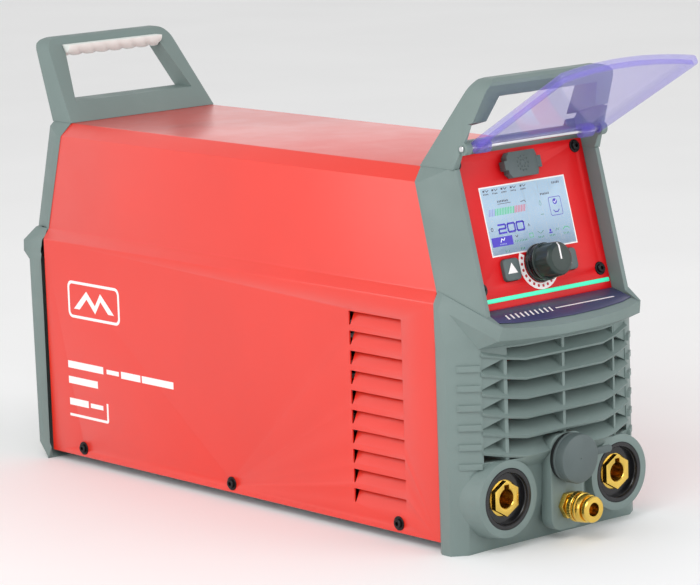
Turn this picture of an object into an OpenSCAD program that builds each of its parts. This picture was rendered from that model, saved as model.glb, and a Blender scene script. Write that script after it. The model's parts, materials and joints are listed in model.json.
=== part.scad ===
// Portable inverter welding machine: folded sheet-metal case between two
// moulded end bezels, sloping control panel under a flip-up clear lid.
// +Z is up, the front faces -Y, and the machine stands on z = 0.

/* [Case] */
// Width of the sheet-metal cover below its joggle
cover_w = 162.6; // [156:0.2:172]
// Length of the cover along its lower edge
cover_len = 433.6; // [400:0.2:470]
// Height of the cover's top face
cover_top_z = 256; // [254:0.5:258]
// Thickness of the cover's sheet
cover_t = 1.2; // [0.8:0.1:2]
// Height where the cover steps inward
joggle_z = 168; // [160:1:172]

/* [Louvres] */
// Number of louvres in each side of the cover
louvre_count = 10; // [4:1:10]
// Spacing of the louvres
louvre_pitch = 13.7; // [12:0.1:14]
// Length of one louvre
louvre_len = 53; // [30:1:60]

/* [Front] */
// Width of the moulded bezels at the foot
bezel_w = 172.6; // [168:0.2:178]
// Backward slope of the control panel in degrees
panel_tilt = 15.12; // [13:0.1:17]
// Half the width of the control panel
panel_half_w = 62.4; // [60:0.2:62.4]
// Number of slats in the front grille
slat_count = 6; // [3:1:6]
// Spacing of the grille slats
slat_pitch = 13.2; // [12:0.1:13.4]

/* [Handles and lid] */
// Height of the handles' top
handle_top_z = 316; // [314:0.5:320]
// Radius of the ribbed grips
grip_r = 9; // [8:0.1:9.3]
// Length of the clear lid
lid_len = 106; // [102:0.5:108]
// Angle of the open lid above the horizontal
lid_open = 30; // [26:1:32]

/* [Connections] */
// Radius of the bore in the weld-cable sockets
socket_bore_r = 6.5; // [6:0.1:7]
// Distance between the two weld-cable sockets
socket_span = 104.2; // [100:0.2:106]
// Height of the weld-cable sockets
socket_z = 36.4; // [35:0.2:38]
// Radius of the bore in the gas coupler
coupler_bore_r = 4.5; // [4:0.1:5]

/* [Hidden] */
$fn = 64;

eps = 0.01;
fit = 0.3;
front_y = -178.3;
cover_r = cover_w / 2;
cover_low_z = 6;
joggle_in = 4.3;
joggle_h = 7.7;
cover_chamfer = 8.7;
upper_low_r = cover_r - joggle_in;
upper_high_r = upper_low_r - 1.15;
chamfer_z = cover_top_z - cover_chamfer - 0.4;
border_tilt_z = 170;
bezel_r = bezel_w / 2;
bezel_top_r = upper_high_r - cover_chamfer + 1;
wall = 3;

// Control panel: its face passes through (y, z), and its own frame has +Y up
// the slope and +Z out of the face.
panel_y = -1.23;
panel_z = 239.92;
panel_top = 23;
panel_bottom = -81.4;
panel_t = 2.5;
cheek_n = 11.6;
border_n = -19.4;
display_w = 79.2;
display_h = 47;
knob_y = -56;
button_x = 26.5;
button_y = -57;
button_size = [14.8, 14.8];
port_y = 11.5;
port_hinge_x = 18;
screw_x = 55;
screw_ys = [18, -67];
shelf_slope = 0.257;
shelf_y = -22.5;
shelf_z = 161.3;

hinge_y = -14.5;
hinge_z = 270;
pin_r = 2;
lid_half_w = 62.5;
lid_bulge = 5.2;
lid_t = 2.5;
lid_flange = 7;

handle_low_z = cover_top_z + 0.1;
handle_inner = [[24.4, handle_low_z], [-16, 312.5]];
grip_y = -14.5;
grip_z = 310.5;
grip_half = 44.4;

connector_z = 57;
coupler_z = 24;
plate_y = -37.6;
plate_mid_z = 40.2;
plate_back = -29;
front_ring_y = -36.3;
strap_x = 38;

// ---------- placing ----------
module at_front() translate([0, front_y, 0]) children();
module at_rear() translate([0, front_y + cover_len, 0]) mirror([0, 1, 0]) children();
module both_sides() { children(); mirror([1, 0, 0]) children(); }
// The panel's own frame, before it is put at the front or at the rear.
module at_panel() translate([0, panel_y, panel_z]) rotate([90 - panel_tilt, 0, 0]) children();
module on_panel() at_front() at_panel() children();
module on_lid() at_front() translate([0, hinge_y, hinge_z]) rotate([-lid_open, 0, 0]) children();
// Extrudes an outline in (y, z) along X, centred.
module along_x(w) rotate([90, 0, 90]) linear_extrude(w, center = true) children();
// Extrudes an outline in (x, z) along +Y from y0 to y1.
module along_y(y0, y1) translate([0, y1, 0]) rotate([90, 0, 0]) linear_extrude(y1 - y0) children();
// A cylinder along -Y whose first end is at y0.
module rod_y(y0, len, r, r2 = undef) translate([0, y0, 0]) rotate([90, 0, 0])
    cylinder(h = len, r1 = r, r2 = is_undef(r2) ? r : r2);
module rod_x(len, r) rotate([0, 90, 0]) cylinder(h = len, r = r, center = true);
module box(lo, hi) translate(lo) cube(hi - lo);

function mirrored(half) = concat(half,
    [for (i = [len(half) - 1:-1:0]) [-half[i][0], half[i][1], half[i][2]]]);
function arc(c, r, a0, a1, steps) = [for (i = [0:steps])
    let (a = a0 + (a1 - a0) * i / steps) [c[0] + r * cos(a), c[1] + r * sin(a)]];
function rounded(w, h, r, steps = 6) = concat(
    arc([w / 2 - r, h / 2 - r], r, 0, 90, steps), arc([r - w / 2, h / 2 - r], r, 90, 180, steps),
    arc([r - w / 2, r - h / 2], r, 180, 270, steps), arc([w / 2 - r, r - h / 2], r, 270, 360, steps));

// Solid through rings of 3-D points, lowest first, each running clockwise seen from above.
module loft(rings) {
    n = len(rings[0]);
    top = (len(rings) - 1) * n;
    polyhedron(
        points = [for (ring = rings) for (p = ring) p],
        faces = concat(
            [[for (i = [n - 1:-1:0]) i]], [[for (i = [0:n - 1]) top + i]],
            [for (k = [0:len(rings) - 2]) for (i = [0:n - 1]) let (j = (i + 1) % n)
                [k * n + i, k * n + j, (k + 1) * n + j]],
            [for (k = [0:len(rings) - 2]) for (i = [0:n - 1]) let (j = (i + 1) % n)
                [k * n + i, (k + 1) * n + j, (k + 1) * n + i]]));
}

// ---------- case ----------
function cover_outline(t) = [
    [cover_r - t, cover_low_z - eps], [cover_r - t, joggle_z], [upper_low_r - t, joggle_z + joggle_h],
    [upper_high_r - t, chamfer_z], [upper_high_r - cover_chamfer - t * 0.4, cover_top_z - t],
    [-(upper_high_r - cover_chamfer - t * 0.4), cover_top_z - t], [-(upper_high_r - t), chamfer_z],
    [-(upper_low_r - t), joggle_z + joggle_h], [-(cover_r - t), joggle_z],
    [-(cover_r - t), cover_low_z - eps]];

function louvre_z(i) = 144 - i * louvre_pitch;
cover_screw_ys = [40.9, 219.2, 394.6];
cover_screw_z = 12.8;
frame_screw_xs = [-30, 30];

module louvre_cut(i) box([cover_r - 2, 33, louvre_z(i)], [cover_r + 1, 33 + louvre_len, louvre_z(i) + 9.6]);
module louvre_flap(i) translate([cover_r, 33, louvre_z(i)]) rotate([0, -24, 0])
    translate([-cover_t, 0, 0]) cube([cover_t, louvre_len - 1.4, 10.4]);

module border_cut() {
    run = (cover_top_z - border_tilt_z) * tan(panel_tilt);
    over = 7.4;
    along_x(300) polygon([[-1, border_tilt_z], [0, border_tilt_z],
        [run + over * tan(panel_tilt), cover_top_z + over], [-1, cover_top_z + over]]);
}

module top_cover() color([0.85, 0.13, 0.1]) {
    at_front() difference() {
        union() {
            difference() {
                along_y(0, cover_len) polygon(cover_outline(0));
                translate([0, 0, -0.02]) along_y(-1, cover_len + 1) polygon(cover_outline(cover_t));
                both_sides() for (i = [0:louvre_count - 1]) louvre_cut(i);
            }
            both_sides() for (i = [0:louvre_count - 1]) louvre_flap(i);
        }
        for (y = cover_screw_ys) translate([0, y, cover_screw_z]) rod_x(cover_w + 4, 2.2);
        border_cut();
        translate([0, cover_len, 0]) mirror([0, 1, 0]) border_cut();
        box([-cover_r, -1, cover_low_z - 1], [cover_r, cover_len + 1, cover_low_z]);
    }
}

module base_tray() color([0.55, 0.57, 0.6]) {
    tray_r = cover_r - cover_t - 0.5;
    at_front() difference() {
        union() {
            box([-tray_r, 5, 8], [tray_r, cover_len - 5, 9.5]);
            both_sides() box([tray_r - 1.5, 5, 8], [tray_r, cover_len - 5, 19.5]);
            box([-tray_r, 5, 8], [tray_r, 6.5, 19]);
            box([-tray_r, cover_len - 6.5, 8], [tray_r, cover_len - 5, 19]);
        }
        for (y = cover_screw_ys) translate([0, y, cover_screw_z]) rod_x(cover_w + 4, 1.8);
        for (x = frame_screw_xs) translate([x, 10, 14]) rod_y(0, 10, 2.2);
        for (x = frame_screw_xs) translate([x, cover_len, 14]) rod_y(0, 10, 2.2);
        for (i = [0:5]) box([-60, 150 + i * 26, 7], [-30, 158 + i * 26, 10]);
    }
}

module cover_screws() color([0.06, 0.06, 0.07]) at_front() both_sides() for (y = cover_screw_ys)
    translate([cover_r, y, cover_screw_z]) rotate([0, 90, 0]) difference() {
        union() {
            translate([0, 0, 0.05]) cylinder(h = 2.3, r1 = 3.9, r2 = 3.2);
            translate([0, 0, -9]) cylinder(h = 9.1, r = 1.75);
        }
        translate([0, 0, 1.2]) cylinder(h = 2, r = 1.7, $fn = 6);
    }

module frame_screws() color([0.7, 0.7, 0.72]) {
    at_front() for (x = frame_screw_xs) translate([x, 6.55, 14]) frame_screw();
    at_rear() for (x = frame_screw_xs) translate([x, 6.55, 14]) frame_screw();
}
module frame_screw() { mirror([0, 1, 0]) rod_y(0, 2.4, 3.6); rod_y(0.1, 12, 1.8); }

// ---------- front bezel ----------
// Half outlines of the lower body, from the rear right corner round to the middle.
function side_points(back, z) = [[cover_r + 0.3, back, z], [bezel_r, -6.5, z], [bezel_r, -15, z]];
function foot_ring(z, back, face, side_face) = mirrored(concat(side_points(back, z),
    [[76, side_face, z], [50.5, face, z], [36, face, z], [16, face, z]]));
function grille_ring(z, back) = mirrored(concat(side_points(back, z),
    [[69, -28.5, z], [50.5, -34.5, z], [36, -38.5, z], [16, -38.5, z]]));
nose_low = [[cover_r + 0.3, 0, joggle_z], [82.2, -5, 165.4], [78.8, -12, 162], [66, -45, 146],
    [50, -49.5, 145.4], [30, -53, 145], [12, -54.5, 144.8]];
nose_high = [[upper_low_r + 0.3, 0, 176], [76.2, -5, 173.8], [74.3, -12, 170.7], [64.5, -47.5, 155],
    [50, -51.5, 153.2], [30, -54.5, 151.9], [12, -55.6, 151.4]];
function body_rings(back) = [foot_ring(0, back, -21, -22), foot_ring(30, back, -30, -23.5),
    foot_ring(54, back, -31, -24.5), grille_ring(62, back), grille_ring(139, back),
    mirrored([for (p = nose_low) [p[0], p[1] >= 0 ? back : p[1], p[2]]]),
    mirrored([for (p = nose_high) [p[0], p[1] >= 0 ? back : p[1], p[2]]])];
function inset(ring, t) = [for (p = ring) [p[0] - sign(p[0]) * t, p[1] < -1 ? p[1] + t : p[1], p[2]]];

module lower_body() loft(body_rings(0));
module lower_hollow() loft([for (ring = body_rings(30)) inset(ring, wall)]);

// Upper frame beside and behind the panel, drawn across the slope in (x, height over the face).
module upper_prism(outline, low) at_panel() translate([0, 50, 0]) rotate([90, 0, 0])
    linear_extrude(50 - low) polygon(outline);
function upper_half(t) = [[upper_low_r + 0.5 - t, 150], [upper_low_r + 0.3 - t, 176],
    [upper_high_r + 0.3 - t, chamfer_z], [bezel_top_r - t, cover_top_z - t]];
module upper_limits(t) along_y(-80, 60) polygon(concat(upper_half(t),
    [for (i = [3:-1:0]) [-upper_half(t)[i][0], upper_half(t)[i][1]]]));
module upper_body() intersection() {
    upper_prism([[upper_low_r + 0.5, border_n], [66.3, cheek_n], [-66.3, cheek_n],
        [-upper_low_r - 0.5, border_n]], -100);
    upper_limits(0);
}
module upper_hollow() intersection() {
    upper_prism([[upper_low_r - wall, border_n - 8], [68, -5.5], [-68, -5.5],
        [wall - upper_low_r, border_n - 8]], -100);
    upper_limits(wall);
}
// Space in front of the panel and above the shelf.
module panel_space() along_x(2 * panel_half_w + 0.8) polygon([
    panel_point(40, -panel_t), panel_point(panel_bottom - 0.3, -panel_t), panel_point(panel_bottom - 0.3, 0),
    [shelf_y - 45, shelf_z - 45 * shelf_slope], [shelf_y - 45, 300]]);
function panel_point(s, n) = [panel_y + s * sin(panel_tilt) - n * cos(panel_tilt),
    panel_z + s * cos(panel_tilt) + n * sin(panel_tilt)];

slat_front = -38.8;
slat_tilt = 33;
module grille_openings() {
    z0 = 62.5;
    z1 = 138;
    difference() {
        along_y(-60, -10) polygon([[-67, z0], [67, z0], [67, z1], [-67, z1]]);
        both_sides() translate([50.5, 0, 100]) cube([2.4, 140, 90], center = true);
    }
}
module slat(i) translate([0, 0, 62.2 + i * slat_pitch]) {
    translate([0, slat_front, 0]) rotate([slat_tilt, 0, 0]) translate([0, -slat_front, 0]) linear_extrude(2)
        polygon([[67.5, -21], [67.5, -28.6], [50.5, -35], [36, -38.8], [-36, -38.8], [-50.5, -35],
            [-67.5, -28.6], [-67.5, -21]]);
    both_sides() translate([0, 0, -3.8]) linear_extrude(4)
        polygon([[66, -26], [69.5, -30.5], [81, -21], [81, -17]]);
}
// Plan of what fills the grille's outer bays, from divider to corner.
bay_plan = [[51, -34.6], [67.6, -28.4], [67.6, -21.5], [51, -26]];
// Hangs from slat i in each outer bay, so that the opening under it narrows to the corner.
module bay_filler(i) let (z = 62.2 + i * slat_pitch) both_sides() intersection() {
    translate([0, 0, z - 6]) linear_extrude(15) polygon(bay_plan);
    along_y(-40, -20) polygon([[51.5, z + 3], [66.9, z - 3.4], [69, z - 4.6], [69, z + 8], [51.5, z + 3.7]]);
}
module socket_boss() translate([0, 0, socket_z]) rod_y(-14, 22, 30, 26.2);

module front_bezel() color([0.42, 0.49, 0.48]) at_front() difference() {
    union() {
        front_shell();
        for (i = [0:slat_count - 1]) slat(i);
        for (i = [1:slat_count - 1]) bay_filler(i);
        both_sides() translate([0, 0, 131]) linear_extrude(8.4) polygon(bay_plan);
        both_sides() box([49.3, -33.4, 61], [51.7, -20, 139.5]);
        box([-1.2, -37.5, 61], [1.2, -22, 139.5]);
    }
    translate([0, 0, connector_z]) rod_y(5, 40, 15.2);
    plate_cut();
}
module front_shell() {
    difference() {
        union() {
            lower_body();
            upper_body();
            both_sides() translate([socket_span / 2, 0, 0]) socket_boss();
        }
        difference() {
            union() { lower_hollow(); upper_hollow(); }
            both_sides() translate([socket_span / 2, 0, socket_z]) rod_y(0, 40, 26);
            for (x = frame_screw_xs) translate([x, 4.9, 14]) rod_y(0, 40, 5);
            screw_posts();
        }
        panel_space();
        at_panel() box([-50, -79, -12], [50, 22, 1]);
        both_sides() translate([socket_span / 2, 0, socket_z]) rod_y(5, 60, 21);
        translate([0, 0, connector_z]) rod_y(5, 40, 15.2);
        translate([0, 0, coupler_z]) rod_y(5, 40, 7.2);
        plate_cut();
        grille_openings();
        for (x = frame_screw_xs) translate([x, 8, 14]) rod_y(0, 14, 1.8);
        at_panel() at_panel_screws() translate([0, 0, -12]) cylinder(h = 14, r = 1.6);
        box([-100, -80, -30], [100, 60, 0]);
    }
}
module at_panel_screws() for (x = [-screw_x, screw_x]) for (y = screw_ys) translate([x, y, 0]) children();
module screw_posts() at_panel() at_panel_screws() translate([0, 0, -12]) cylinder(h = 12, r = 4);
module plate_cut() along_y(plate_y - 8, plate_back) translate([0, plate_mid_z])
    polygon(rounded(31.4, 66.4, 9.2));

// ---------- handles and grips ----------
module handle(outer_low, outer_top) {
    opening = [[55.5, 270.5], [45, 304], [-45, 304], [-55.5, 270.5]];
    corner = 12;
    difference() {
        intersection() {
            along_x(170) polygon([handle_inner[0], handle_inner[1], [-17.6, handle_top_z - 1],
                [-20, handle_top_z], [outer_top + 4, handle_top_z], [outer_top + 0.6, handle_top_z - 2],
                [outer_top, handle_top_z - 4.5], [outer_low, handle_low_z]]);
            along_y(-60, 60) polygon(concat([[bezel_top_r, handle_low_z]],
                arc([47.4, handle_top_z - corner], corner, 11, 90, 8),
                arc([-47.4, handle_top_z - corner], corner, 90, 169, 8), [[-bezel_top_r, handle_low_z]]));
        }
        along_y(-60, 60) polygon(opening);
        grip_half_round(2 * grip_half + 1.2, grip_r + 0.1);
        box([-grip_half - 0.6, grip_y, 300], [grip_half + 0.6, 30, grip_z]);
    }
}
module grip_half_round(len, r) translate([0, grip_y, grip_z]) difference() {
    rod_x(len, r);
    box([-len, -2 * r, 0], [len, 2 * r, 2 * r]);
}
module grip() difference() {
    grip_body();
    box([-60, -60, grip_z - 0.05], [60, 60, grip_z + 20]);
}
module grip_body() translate([-grip_half, grip_y, grip_z]) rotate([0, 90, 0]) {
    lobes = 7;
    pitch = 2 * grip_half / lobes;
    rotate_extrude($fn = 48) polygon(concat([[0, 0]], [for (i = [0:lobes * 6])
        let (x = i * pitch / 6) [grip_r - 0.55 + 0.55 * cos(360 * x / pitch), x]], [[0, 2 * grip_half]]));
}

module front_handle() color([0.42, 0.49, 0.48]) at_front() difference() {
    union() {
        difference() {
            handle(-8, -33);
            panel_space();
            translate([0, hinge_y, hinge_z]) rod_x(119.6, 5.8);
            box([-59.8, -40, 250], [59.8, hinge_y, hinge_z + 5]);
        }
        both_sides() translate([62.5, hinge_y, hinge_z]) rod_x(5.2, 4.4);
    }
    translate([0, hinge_y, hinge_z]) rod_x(200, pin_r + 0.02);
    both_sides() translate([70, hinge_y, hinge_z]) rod_x(9, 3.4);
    at_panel() at_panel_screws() translate([0, 0, -12]) cylinder(h = 14, r = 1.6);
}
module rear_handle() color([0.42, 0.49, 0.48]) at_rear() handle(1, -31);
module front_grip() color([0.9, 0.9, 0.88]) at_front() grip();
module rear_grip() color([0.9, 0.9, 0.88]) at_rear() grip();

// ---------- rear bezel ----------
fan_z = 96;
fan_r = 38.5;
fan_axle_r = 1.5;
fan_blades = 7;
switch_x = 36;
rocker_n = -2;
rocker_swing = 12;
rocker_pivot_r = 0.9;
gland_x = -38;
rear_upper_z = 214;
inlet_x = -48;
inlet_z = 28;
rear_face_n = 1;
rear_low = -75;
function rear_ring(z, x0, x1, back, face) = mirrored([[x0, back, z], [x1, face * 0.4, z],
    [x1 - 1, face * 0.8, z], [x1 - 6, face, z], [30, face, z]]);
function rear_rings(back) = let (x0 = cover_r + 0.3) [
    rear_ring(0, x0, bezel_r, back, -2), rear_ring(11.6, x0, bezel_r, back, -14.8),
    rear_ring(152, x0, bezel_r, back, -17), rear_ring(158, x0, bezel_r, back, -25.5),
    rear_ring(166, x0, bezel_r - 0.5, back, -25.8),
    rear_ring(176, upper_low_r + 0.3, upper_low_r + 2.5, back, -16)];
module rear_upper() intersection() {
    upper_prism([[upper_low_r + 0.5, border_n], [71, rear_face_n], [-71, rear_face_n],
        [-upper_low_r - 0.5, border_n]], rear_low);
    upper_limits(0);
}
module rear_upper_hollow() intersection() {
    upper_prism([[upper_low_r - wall, border_n - 8], [69, rear_face_n - wall], [-69, rear_face_n - wall],
        [wall - upper_low_r, border_n - 8]], rear_low);
    upper_limits(wall);
}

module rear_bezel() color([0.42, 0.49, 0.48]) at_rear() difference() {
    union() {
        loft(rear_rings(0));
        rear_upper();
        for (i = [0:9]) translate([0, 0, 20 + i * slat_pitch]) both_sides()
            box([bezel_r - 22, -17.6 - i * 0.15, 0], [bezel_r - 6, -12, 2]);
    }
    difference() {
        union() {
            loft([for (ring = rear_rings(30)) inset(ring, wall)]);
            rear_upper_hollow();
        }
        for (x = frame_screw_xs) translate([x, 4.9, 14]) rod_y(0, 40, 5);
    }
    translate([0, 0, fan_z]) rod_y(5, 40, fan_r);
    translate([inlet_x, 0, inlet_z]) rod_y(5, 40, 6.1);
    at_panel() translate([-switch_x, rear_upper_z - panel_z, 0]) cube([13.4, 22.4, 60], center = true);
    at_panel() translate([-gland_x, rear_upper_z - panel_z, -30]) cylinder(h = 60, r = 8.1);
    for (x = frame_screw_xs) translate([x, 8, 14]) rod_y(0, 14, 1.8);
    box([-100, -80, -30], [100, 60, 0]);
    both_sides() for (z = [-36, 36]) translate([36, 0, fan_z + z]) rod_y(5, 40, 2.1);
}

// ---------- control panel ----------
module panel_plate_outline() polygon([[panel_half_w, panel_top], [-panel_half_w, panel_top],
    [-panel_half_w, panel_bottom], [panel_half_w, panel_bottom]]);
module control_panel() color([0.84, 0.08, 0.12]) on_panel() difference() {
    translate([0, 0, -panel_t]) linear_extrude(panel_t) panel_plate_outline();
    translate([-display_w / 2 - 0.05, -display_h - 0.05, -5]) cube([display_w + 0.1, display_h + 0.1, 6]);
    box([0.8 - panel_half_w, -76.8, -5], [panel_half_w - 0.8, -73.8, 1]);
    both_sides() translate([button_x, button_y, -5]) linear_extrude(6)
        polygon(rounded(button_size[0] + 2 * fit, button_size[1] + 2 * fit, 3.4));
    translate([0, knob_y, -5]) cylinder(h = 6, r = 3.6);
    translate([0, port_y, -5]) linear_extrude(6) polygon(rounded(24.2, 12.2, 2.1));
    at_panel_screws() translate([0, 0, -5]) cylinder(h = 6, r = 1.8);
}
module panel_screws() color([0.05, 0.05, 0.06]) on_panel() at_panel_screws() difference() {
    union() {
        cylinder(h = 1.1, r1 = 4.6, r2 = 3.7);
        cylinder(h = 2.4, r1 = 3, r2 = 2.4);
        translate([0, 0, -10]) cylinder(h = 10.1, r = 1.5);
    }
    translate([0, 0, 1.4]) cylinder(h = 2, r = 1.2, $fn = 6);
}
module display_module() color([0.12, 0.13, 0.14]) on_panel() {
    box([-44, -display_h - 1.6, -9], [44, 4, -2.6]);
    both_sides() box([38, -display_h + 4, -15], [42, -display_h + 10, -9]);
}
module display_glass() color([0.73, 0.83, 0.91]) on_panel()
    box([-display_w / 2, -display_h, -2.55], [display_w / 2, 0, 0.1]);
module led_strip() color([0.35, 0.95, 0.8]) on_panel()
    box([0.9 - panel_half_w, -76.75, -2.4], [panel_half_w - 0.9, -73.85, 0.5]);
module label_band() color([0.2, 0.2, 0.36]) at_front() {
    slope = atan(shelf_slope);
    translate([0, shelf_y - 1, shelf_z - shelf_slope + 0.1]) rotate([slope, 0, 0]) linear_extrude(0.7)
        polygon([[61.5, 0], [61.8, -18], [50, -22], [25, -25.5], [0, -26.5], [-25, -25.5], [-50, -22],
            [-61.8, -18], [-61.5, 0]]);
}
module dial_ring() color([0.93, 0.93, 0.93]) on_panel() translate([0, knob_y, 0]) difference() {
    cylinder(h = 0.4, r = 17.7);
    translate([0, 0, -1]) cylinder(h = 3, r = 13.3);
    translate([0, 0, -1]) linear_extrude(3) polygon([[0, 0], [26, 15], [26, 30], [-26, 30], [-26, 15]]);
}
module button(side) on_panel() translate([side * button_x, button_y, 0]) {
    translate([0, 0, -3.4]) linear_extrude(5.8) polygon(rounded(button_size[0], button_size[1], 3.1));
    translate([0, 0, 2.4]) linear_extrude(0.5)
        polygon(rounded(button_size[0] - 1.2, button_size[1] - 1.2, 2.6));
}
module left_button() color([0.36, 0.42, 0.42]) button(-1);
module right_button() color([0.36, 0.42, 0.42]) button(1);
module encoder_body() color([0.6, 0.6, 0.62]) on_panel() translate([0, knob_y, 0]) difference() {
    union() {
        box([-6.5, -7, -14.8], [6.5, 7, -6.2]);
        translate([0, 0, -6.2]) cylinder(h = 8.4, r = 3.5);
        translate([0, 0, 0.05]) cylinder(h = 1.8, r = 6.2, $fn = 6);
    }
    translate([0, 0, -9]) cylinder(h = 20, r = 3.06);
    translate([0, 0, -13.2]) cylinder(h = 5, r = 4.6);
}
module encoder_plunger() color([0.8, 0.7, 0.4]) on_panel() translate([0, knob_y, -11.6])
    cylinder(h = 1.2, r = 4.2);
module encoder_shaft() color([0.75, 0.75, 0.76]) on_panel() translate([0, knob_y, -10.35])
    cylinder(h = 25, r = 3);
knob_base = 3.4;
module knob_skirt() color([0.05, 0.06, 0.07]) on_panel() translate([0, knob_y, 0]) difference() {
    union() {
        translate([0, 0, 0.95]) cylinder(h = 2.2, r = 13.1);
        translate([0, 0, 3.1]) cylinder(h = 4.1, r1 = 12.4, r2 = 11.8);
    }
    cylinder(h = 12, r = 6.7);
}
module knob() color([0.12, 0.17, 0.16]) on_panel() translate([0, knob_y, 0]) {
    flutes = 8;
    difference() {
        union() {
            translate([0, 0, 7.25]) cylinder(h = 1.4, r = 12.9);
            translate([0, 0, 8.6]) cylinder(h = 10.4, r1 = 12.2, r2 = 11.6);
            translate([0, 0, 19]) cylinder(h = 3, r1 = 11.6, r2 = 9.6);
            translate([0, 0, 22]) cylinder(h = 1.1, r1 = 9.6, r2 = 8.4);
            translate([0, 0, knob_base]) cylinder(h = 8, r = 6.65);
        }
        for (i = [0:flutes - 1]) rotate((i + 0.5) * 360 / flutes) translate([20, 0, 9.8])
            cylinder(h = 14, r = 9);
        translate([0, 0, knob_base - 1]) cylinder(h = 12.3, r = 3.02);
    }
}
module port_socket() color([0.1, 0.1, 0.11]) on_panel() translate([0, port_y, 0]) difference() {
    translate([0, 0, -12]) linear_extrude(11.7) polygon(rounded(24, 12, 2));
    translate([0, 0, -9]) linear_extrude(12) polygon(rounded(13, 5, 1.5));
}
module port_cover() color([0.36, 0.42, 0.42]) on_panel() translate([0, port_y, 0]) {
    intersection() {
        translate([0, 0, 0.35]) linear_extrude(5.4) polygon([[15.4, -5.2], [12.8, -8.6], [-11.4, -8.6],
            [-14.2, -5.6], [-14.2, -3.3], [-17, -3], [-17, 3], [-14.2, 3.3], [-14.2, 5.6], [-11.4, 8.6],
            [12.8, 8.6], [15.4, 5.2]]);
        // The hinge end slopes off, so that the cover folds back flat.
        along_y(-10, 10) polygon([[-18, 0], [16, 0], [16, 3], [15.4, 3.4], [10.4, 6], [-18, 6]]);
    }
    translate([port_hinge_x - 0.2, 0, 2.2]) rotate([90, 0, 0]) cylinder(h = 8, r = 1.5, center = true);
    box([15, -3.6, 1.2], [port_hinge_x - 0.2, 3.6, 3.2]);
}

// ---------- lid ----------
lid_steps = 8;
lid_cols = 10;
function lid_x(j) = -1 + 2 * j / lid_cols;
// Height of the lid's outer face over its hinge line, at distance u and half-width fraction f.
function lid_h(u, f) = 3.2 + lid_bulge * pow(u / lid_len, 1.15) * (1 - f * f);
function lid_w(u) = lid_half_w - 3.3 + 3.1 * u / lid_len;
// Point (i, j) of the lid's grid, i running out from the hinge and j across, drop below its outer face.
function lid_point(i, j, drop) = let (u = lid_len * i / lid_steps, f = lid_x(j))
    [f * lid_w(u), -u, lid_h(u, f) - drop];
// Sheet of one thickness; each grid square is two triangles, in the outer face and again in the inner.
module lid_sheet(off) {
    n = lid_cols + 1;
    base = n * (lid_steps + 1);
    last = lid_steps * n;
    points = [for (drop = [0, off]) for (i = [0:lid_steps]) for (j = [0:lid_cols]) lid_point(i, j, drop)];
    squares = [for (i = [0:lid_steps - 1]) for (j = [0:lid_cols - 1]) i * n + j];
    polyhedron(points = points, faces = concat(
        [for (a = squares) [a, a + 1, a + n + 1]], [for (a = squares) [a, a + n + 1, a + n]],
        [for (a = squares) [base + a, base + a + n + 1, base + a + 1]],
        [for (a = squares) [base + a, base + a + n, base + a + n + 1]],
        [for (j = [0:lid_cols - 1]) [j, base + j + 1, j + 1]],
        [for (j = [0:lid_cols - 1]) [j, base + j, base + j + 1]],
        [for (j = [0:lid_cols - 1]) let (a = last + j) [a, a + 1, base + a + 1]],
        [for (j = [0:lid_cols - 1]) let (a = last + j) [a, base + a + 1, base + a]],
        [for (i = [0:lid_steps - 1]) let (a = i * n) [a, a + n, base + a + n]],
        [for (i = [0:lid_steps - 1]) let (a = i * n) [a, base + a + n, base + a]],
        [for (i = [0:lid_steps - 1]) let (a = i * n + n - 1) [a, base + a + n, a + n]],
        [for (i = [0:lid_steps - 1]) let (a = i * n + n - 1) [a, base + a, base + a + n]]));
}
// Outline of the space inside the lid's turned-down sides.
lid_inside = [[lid_w(0) - lid_t, 5], [lid_w(lid_len) - lid_t, 2.5 - lid_len],
    [lid_t - lid_w(lid_len), 2.5 - lid_len], [lid_t - lid_w(0), 5]];
module lid() color([0.55, 0.5, 0.9, 0.4]) on_lid() difference() {
    union() {
        lid_sheet(lid_t);
        difference() {
            lid_sheet(lid_flange);
            translate([0, 0, -20]) linear_extrude(48) polygon(lid_inside);
        }
        both_sides() translate([48, 0, 0]) rod_x(11, 4.6);
        both_sides() box([42.5, -4.5, -2], [53.5, -0.1, 2]);
    }
    rod_x(200, pin_r + 0.06);
}
module lid_pin() color([0.8, 0.8, 0.8]) at_front() translate([0, hinge_y, hinge_z]) rod_x(133.2, pin_r);

// ---------- weld-cable sockets ----------
module socket_body() at_front() translate([0, 0, socket_z]) difference() {
    union() {
        translate([0, front_ring_y + 9, 0]) rod_y(0, 9, 20.9);
        translate([0, front_ring_y + 30, 0]) rod_y(0, 21.5, 17);
    }
    translate([0, front_ring_y + 5, 0]) rod_y(0, 10, 17.2);
    translate([0, front_ring_y + 40, 0]) rod_y(0, 50, 12.4);
}
module socket_insert() at_front() translate([0, 0, socket_z]) difference() {
    union() {
        translate([0, front_ring_y + 6, 0]) rotate([90, 0, 0]) rotate(30)
            cylinder(h = 4.3, r = 12.1, $fn = 6);
        translate([0, front_ring_y + 44, 0]) rod_y(0, 38.5, 12.35);
    }
    translate([0, front_ring_y + 34, 0]) rod_y(0, 40, socket_bore_r);
    translate([0, front_ring_y + 2.4, 0]) rod_y(0, 1.2, socket_bore_r, socket_bore_r + 1);
    box([-2.2, front_ring_y - 5, 0], [2.2, front_ring_y + 12, socket_bore_r + 3]);
}
module left_socket_body() color([0.05, 0.05, 0.06]) translate([-socket_span / 2, 0, 0]) socket_body();
module right_socket_body() color([0.05, 0.05, 0.06]) translate([socket_span / 2, 0, 0]) socket_body();
module left_socket_insert() color([0.85, 0.66, 0.22]) translate([-socket_span / 2, 0, 0]) socket_insert();
module right_socket_insert() color([0.85, 0.66, 0.22]) translate([socket_span / 2, 0, 0]) socket_insert();

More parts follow.
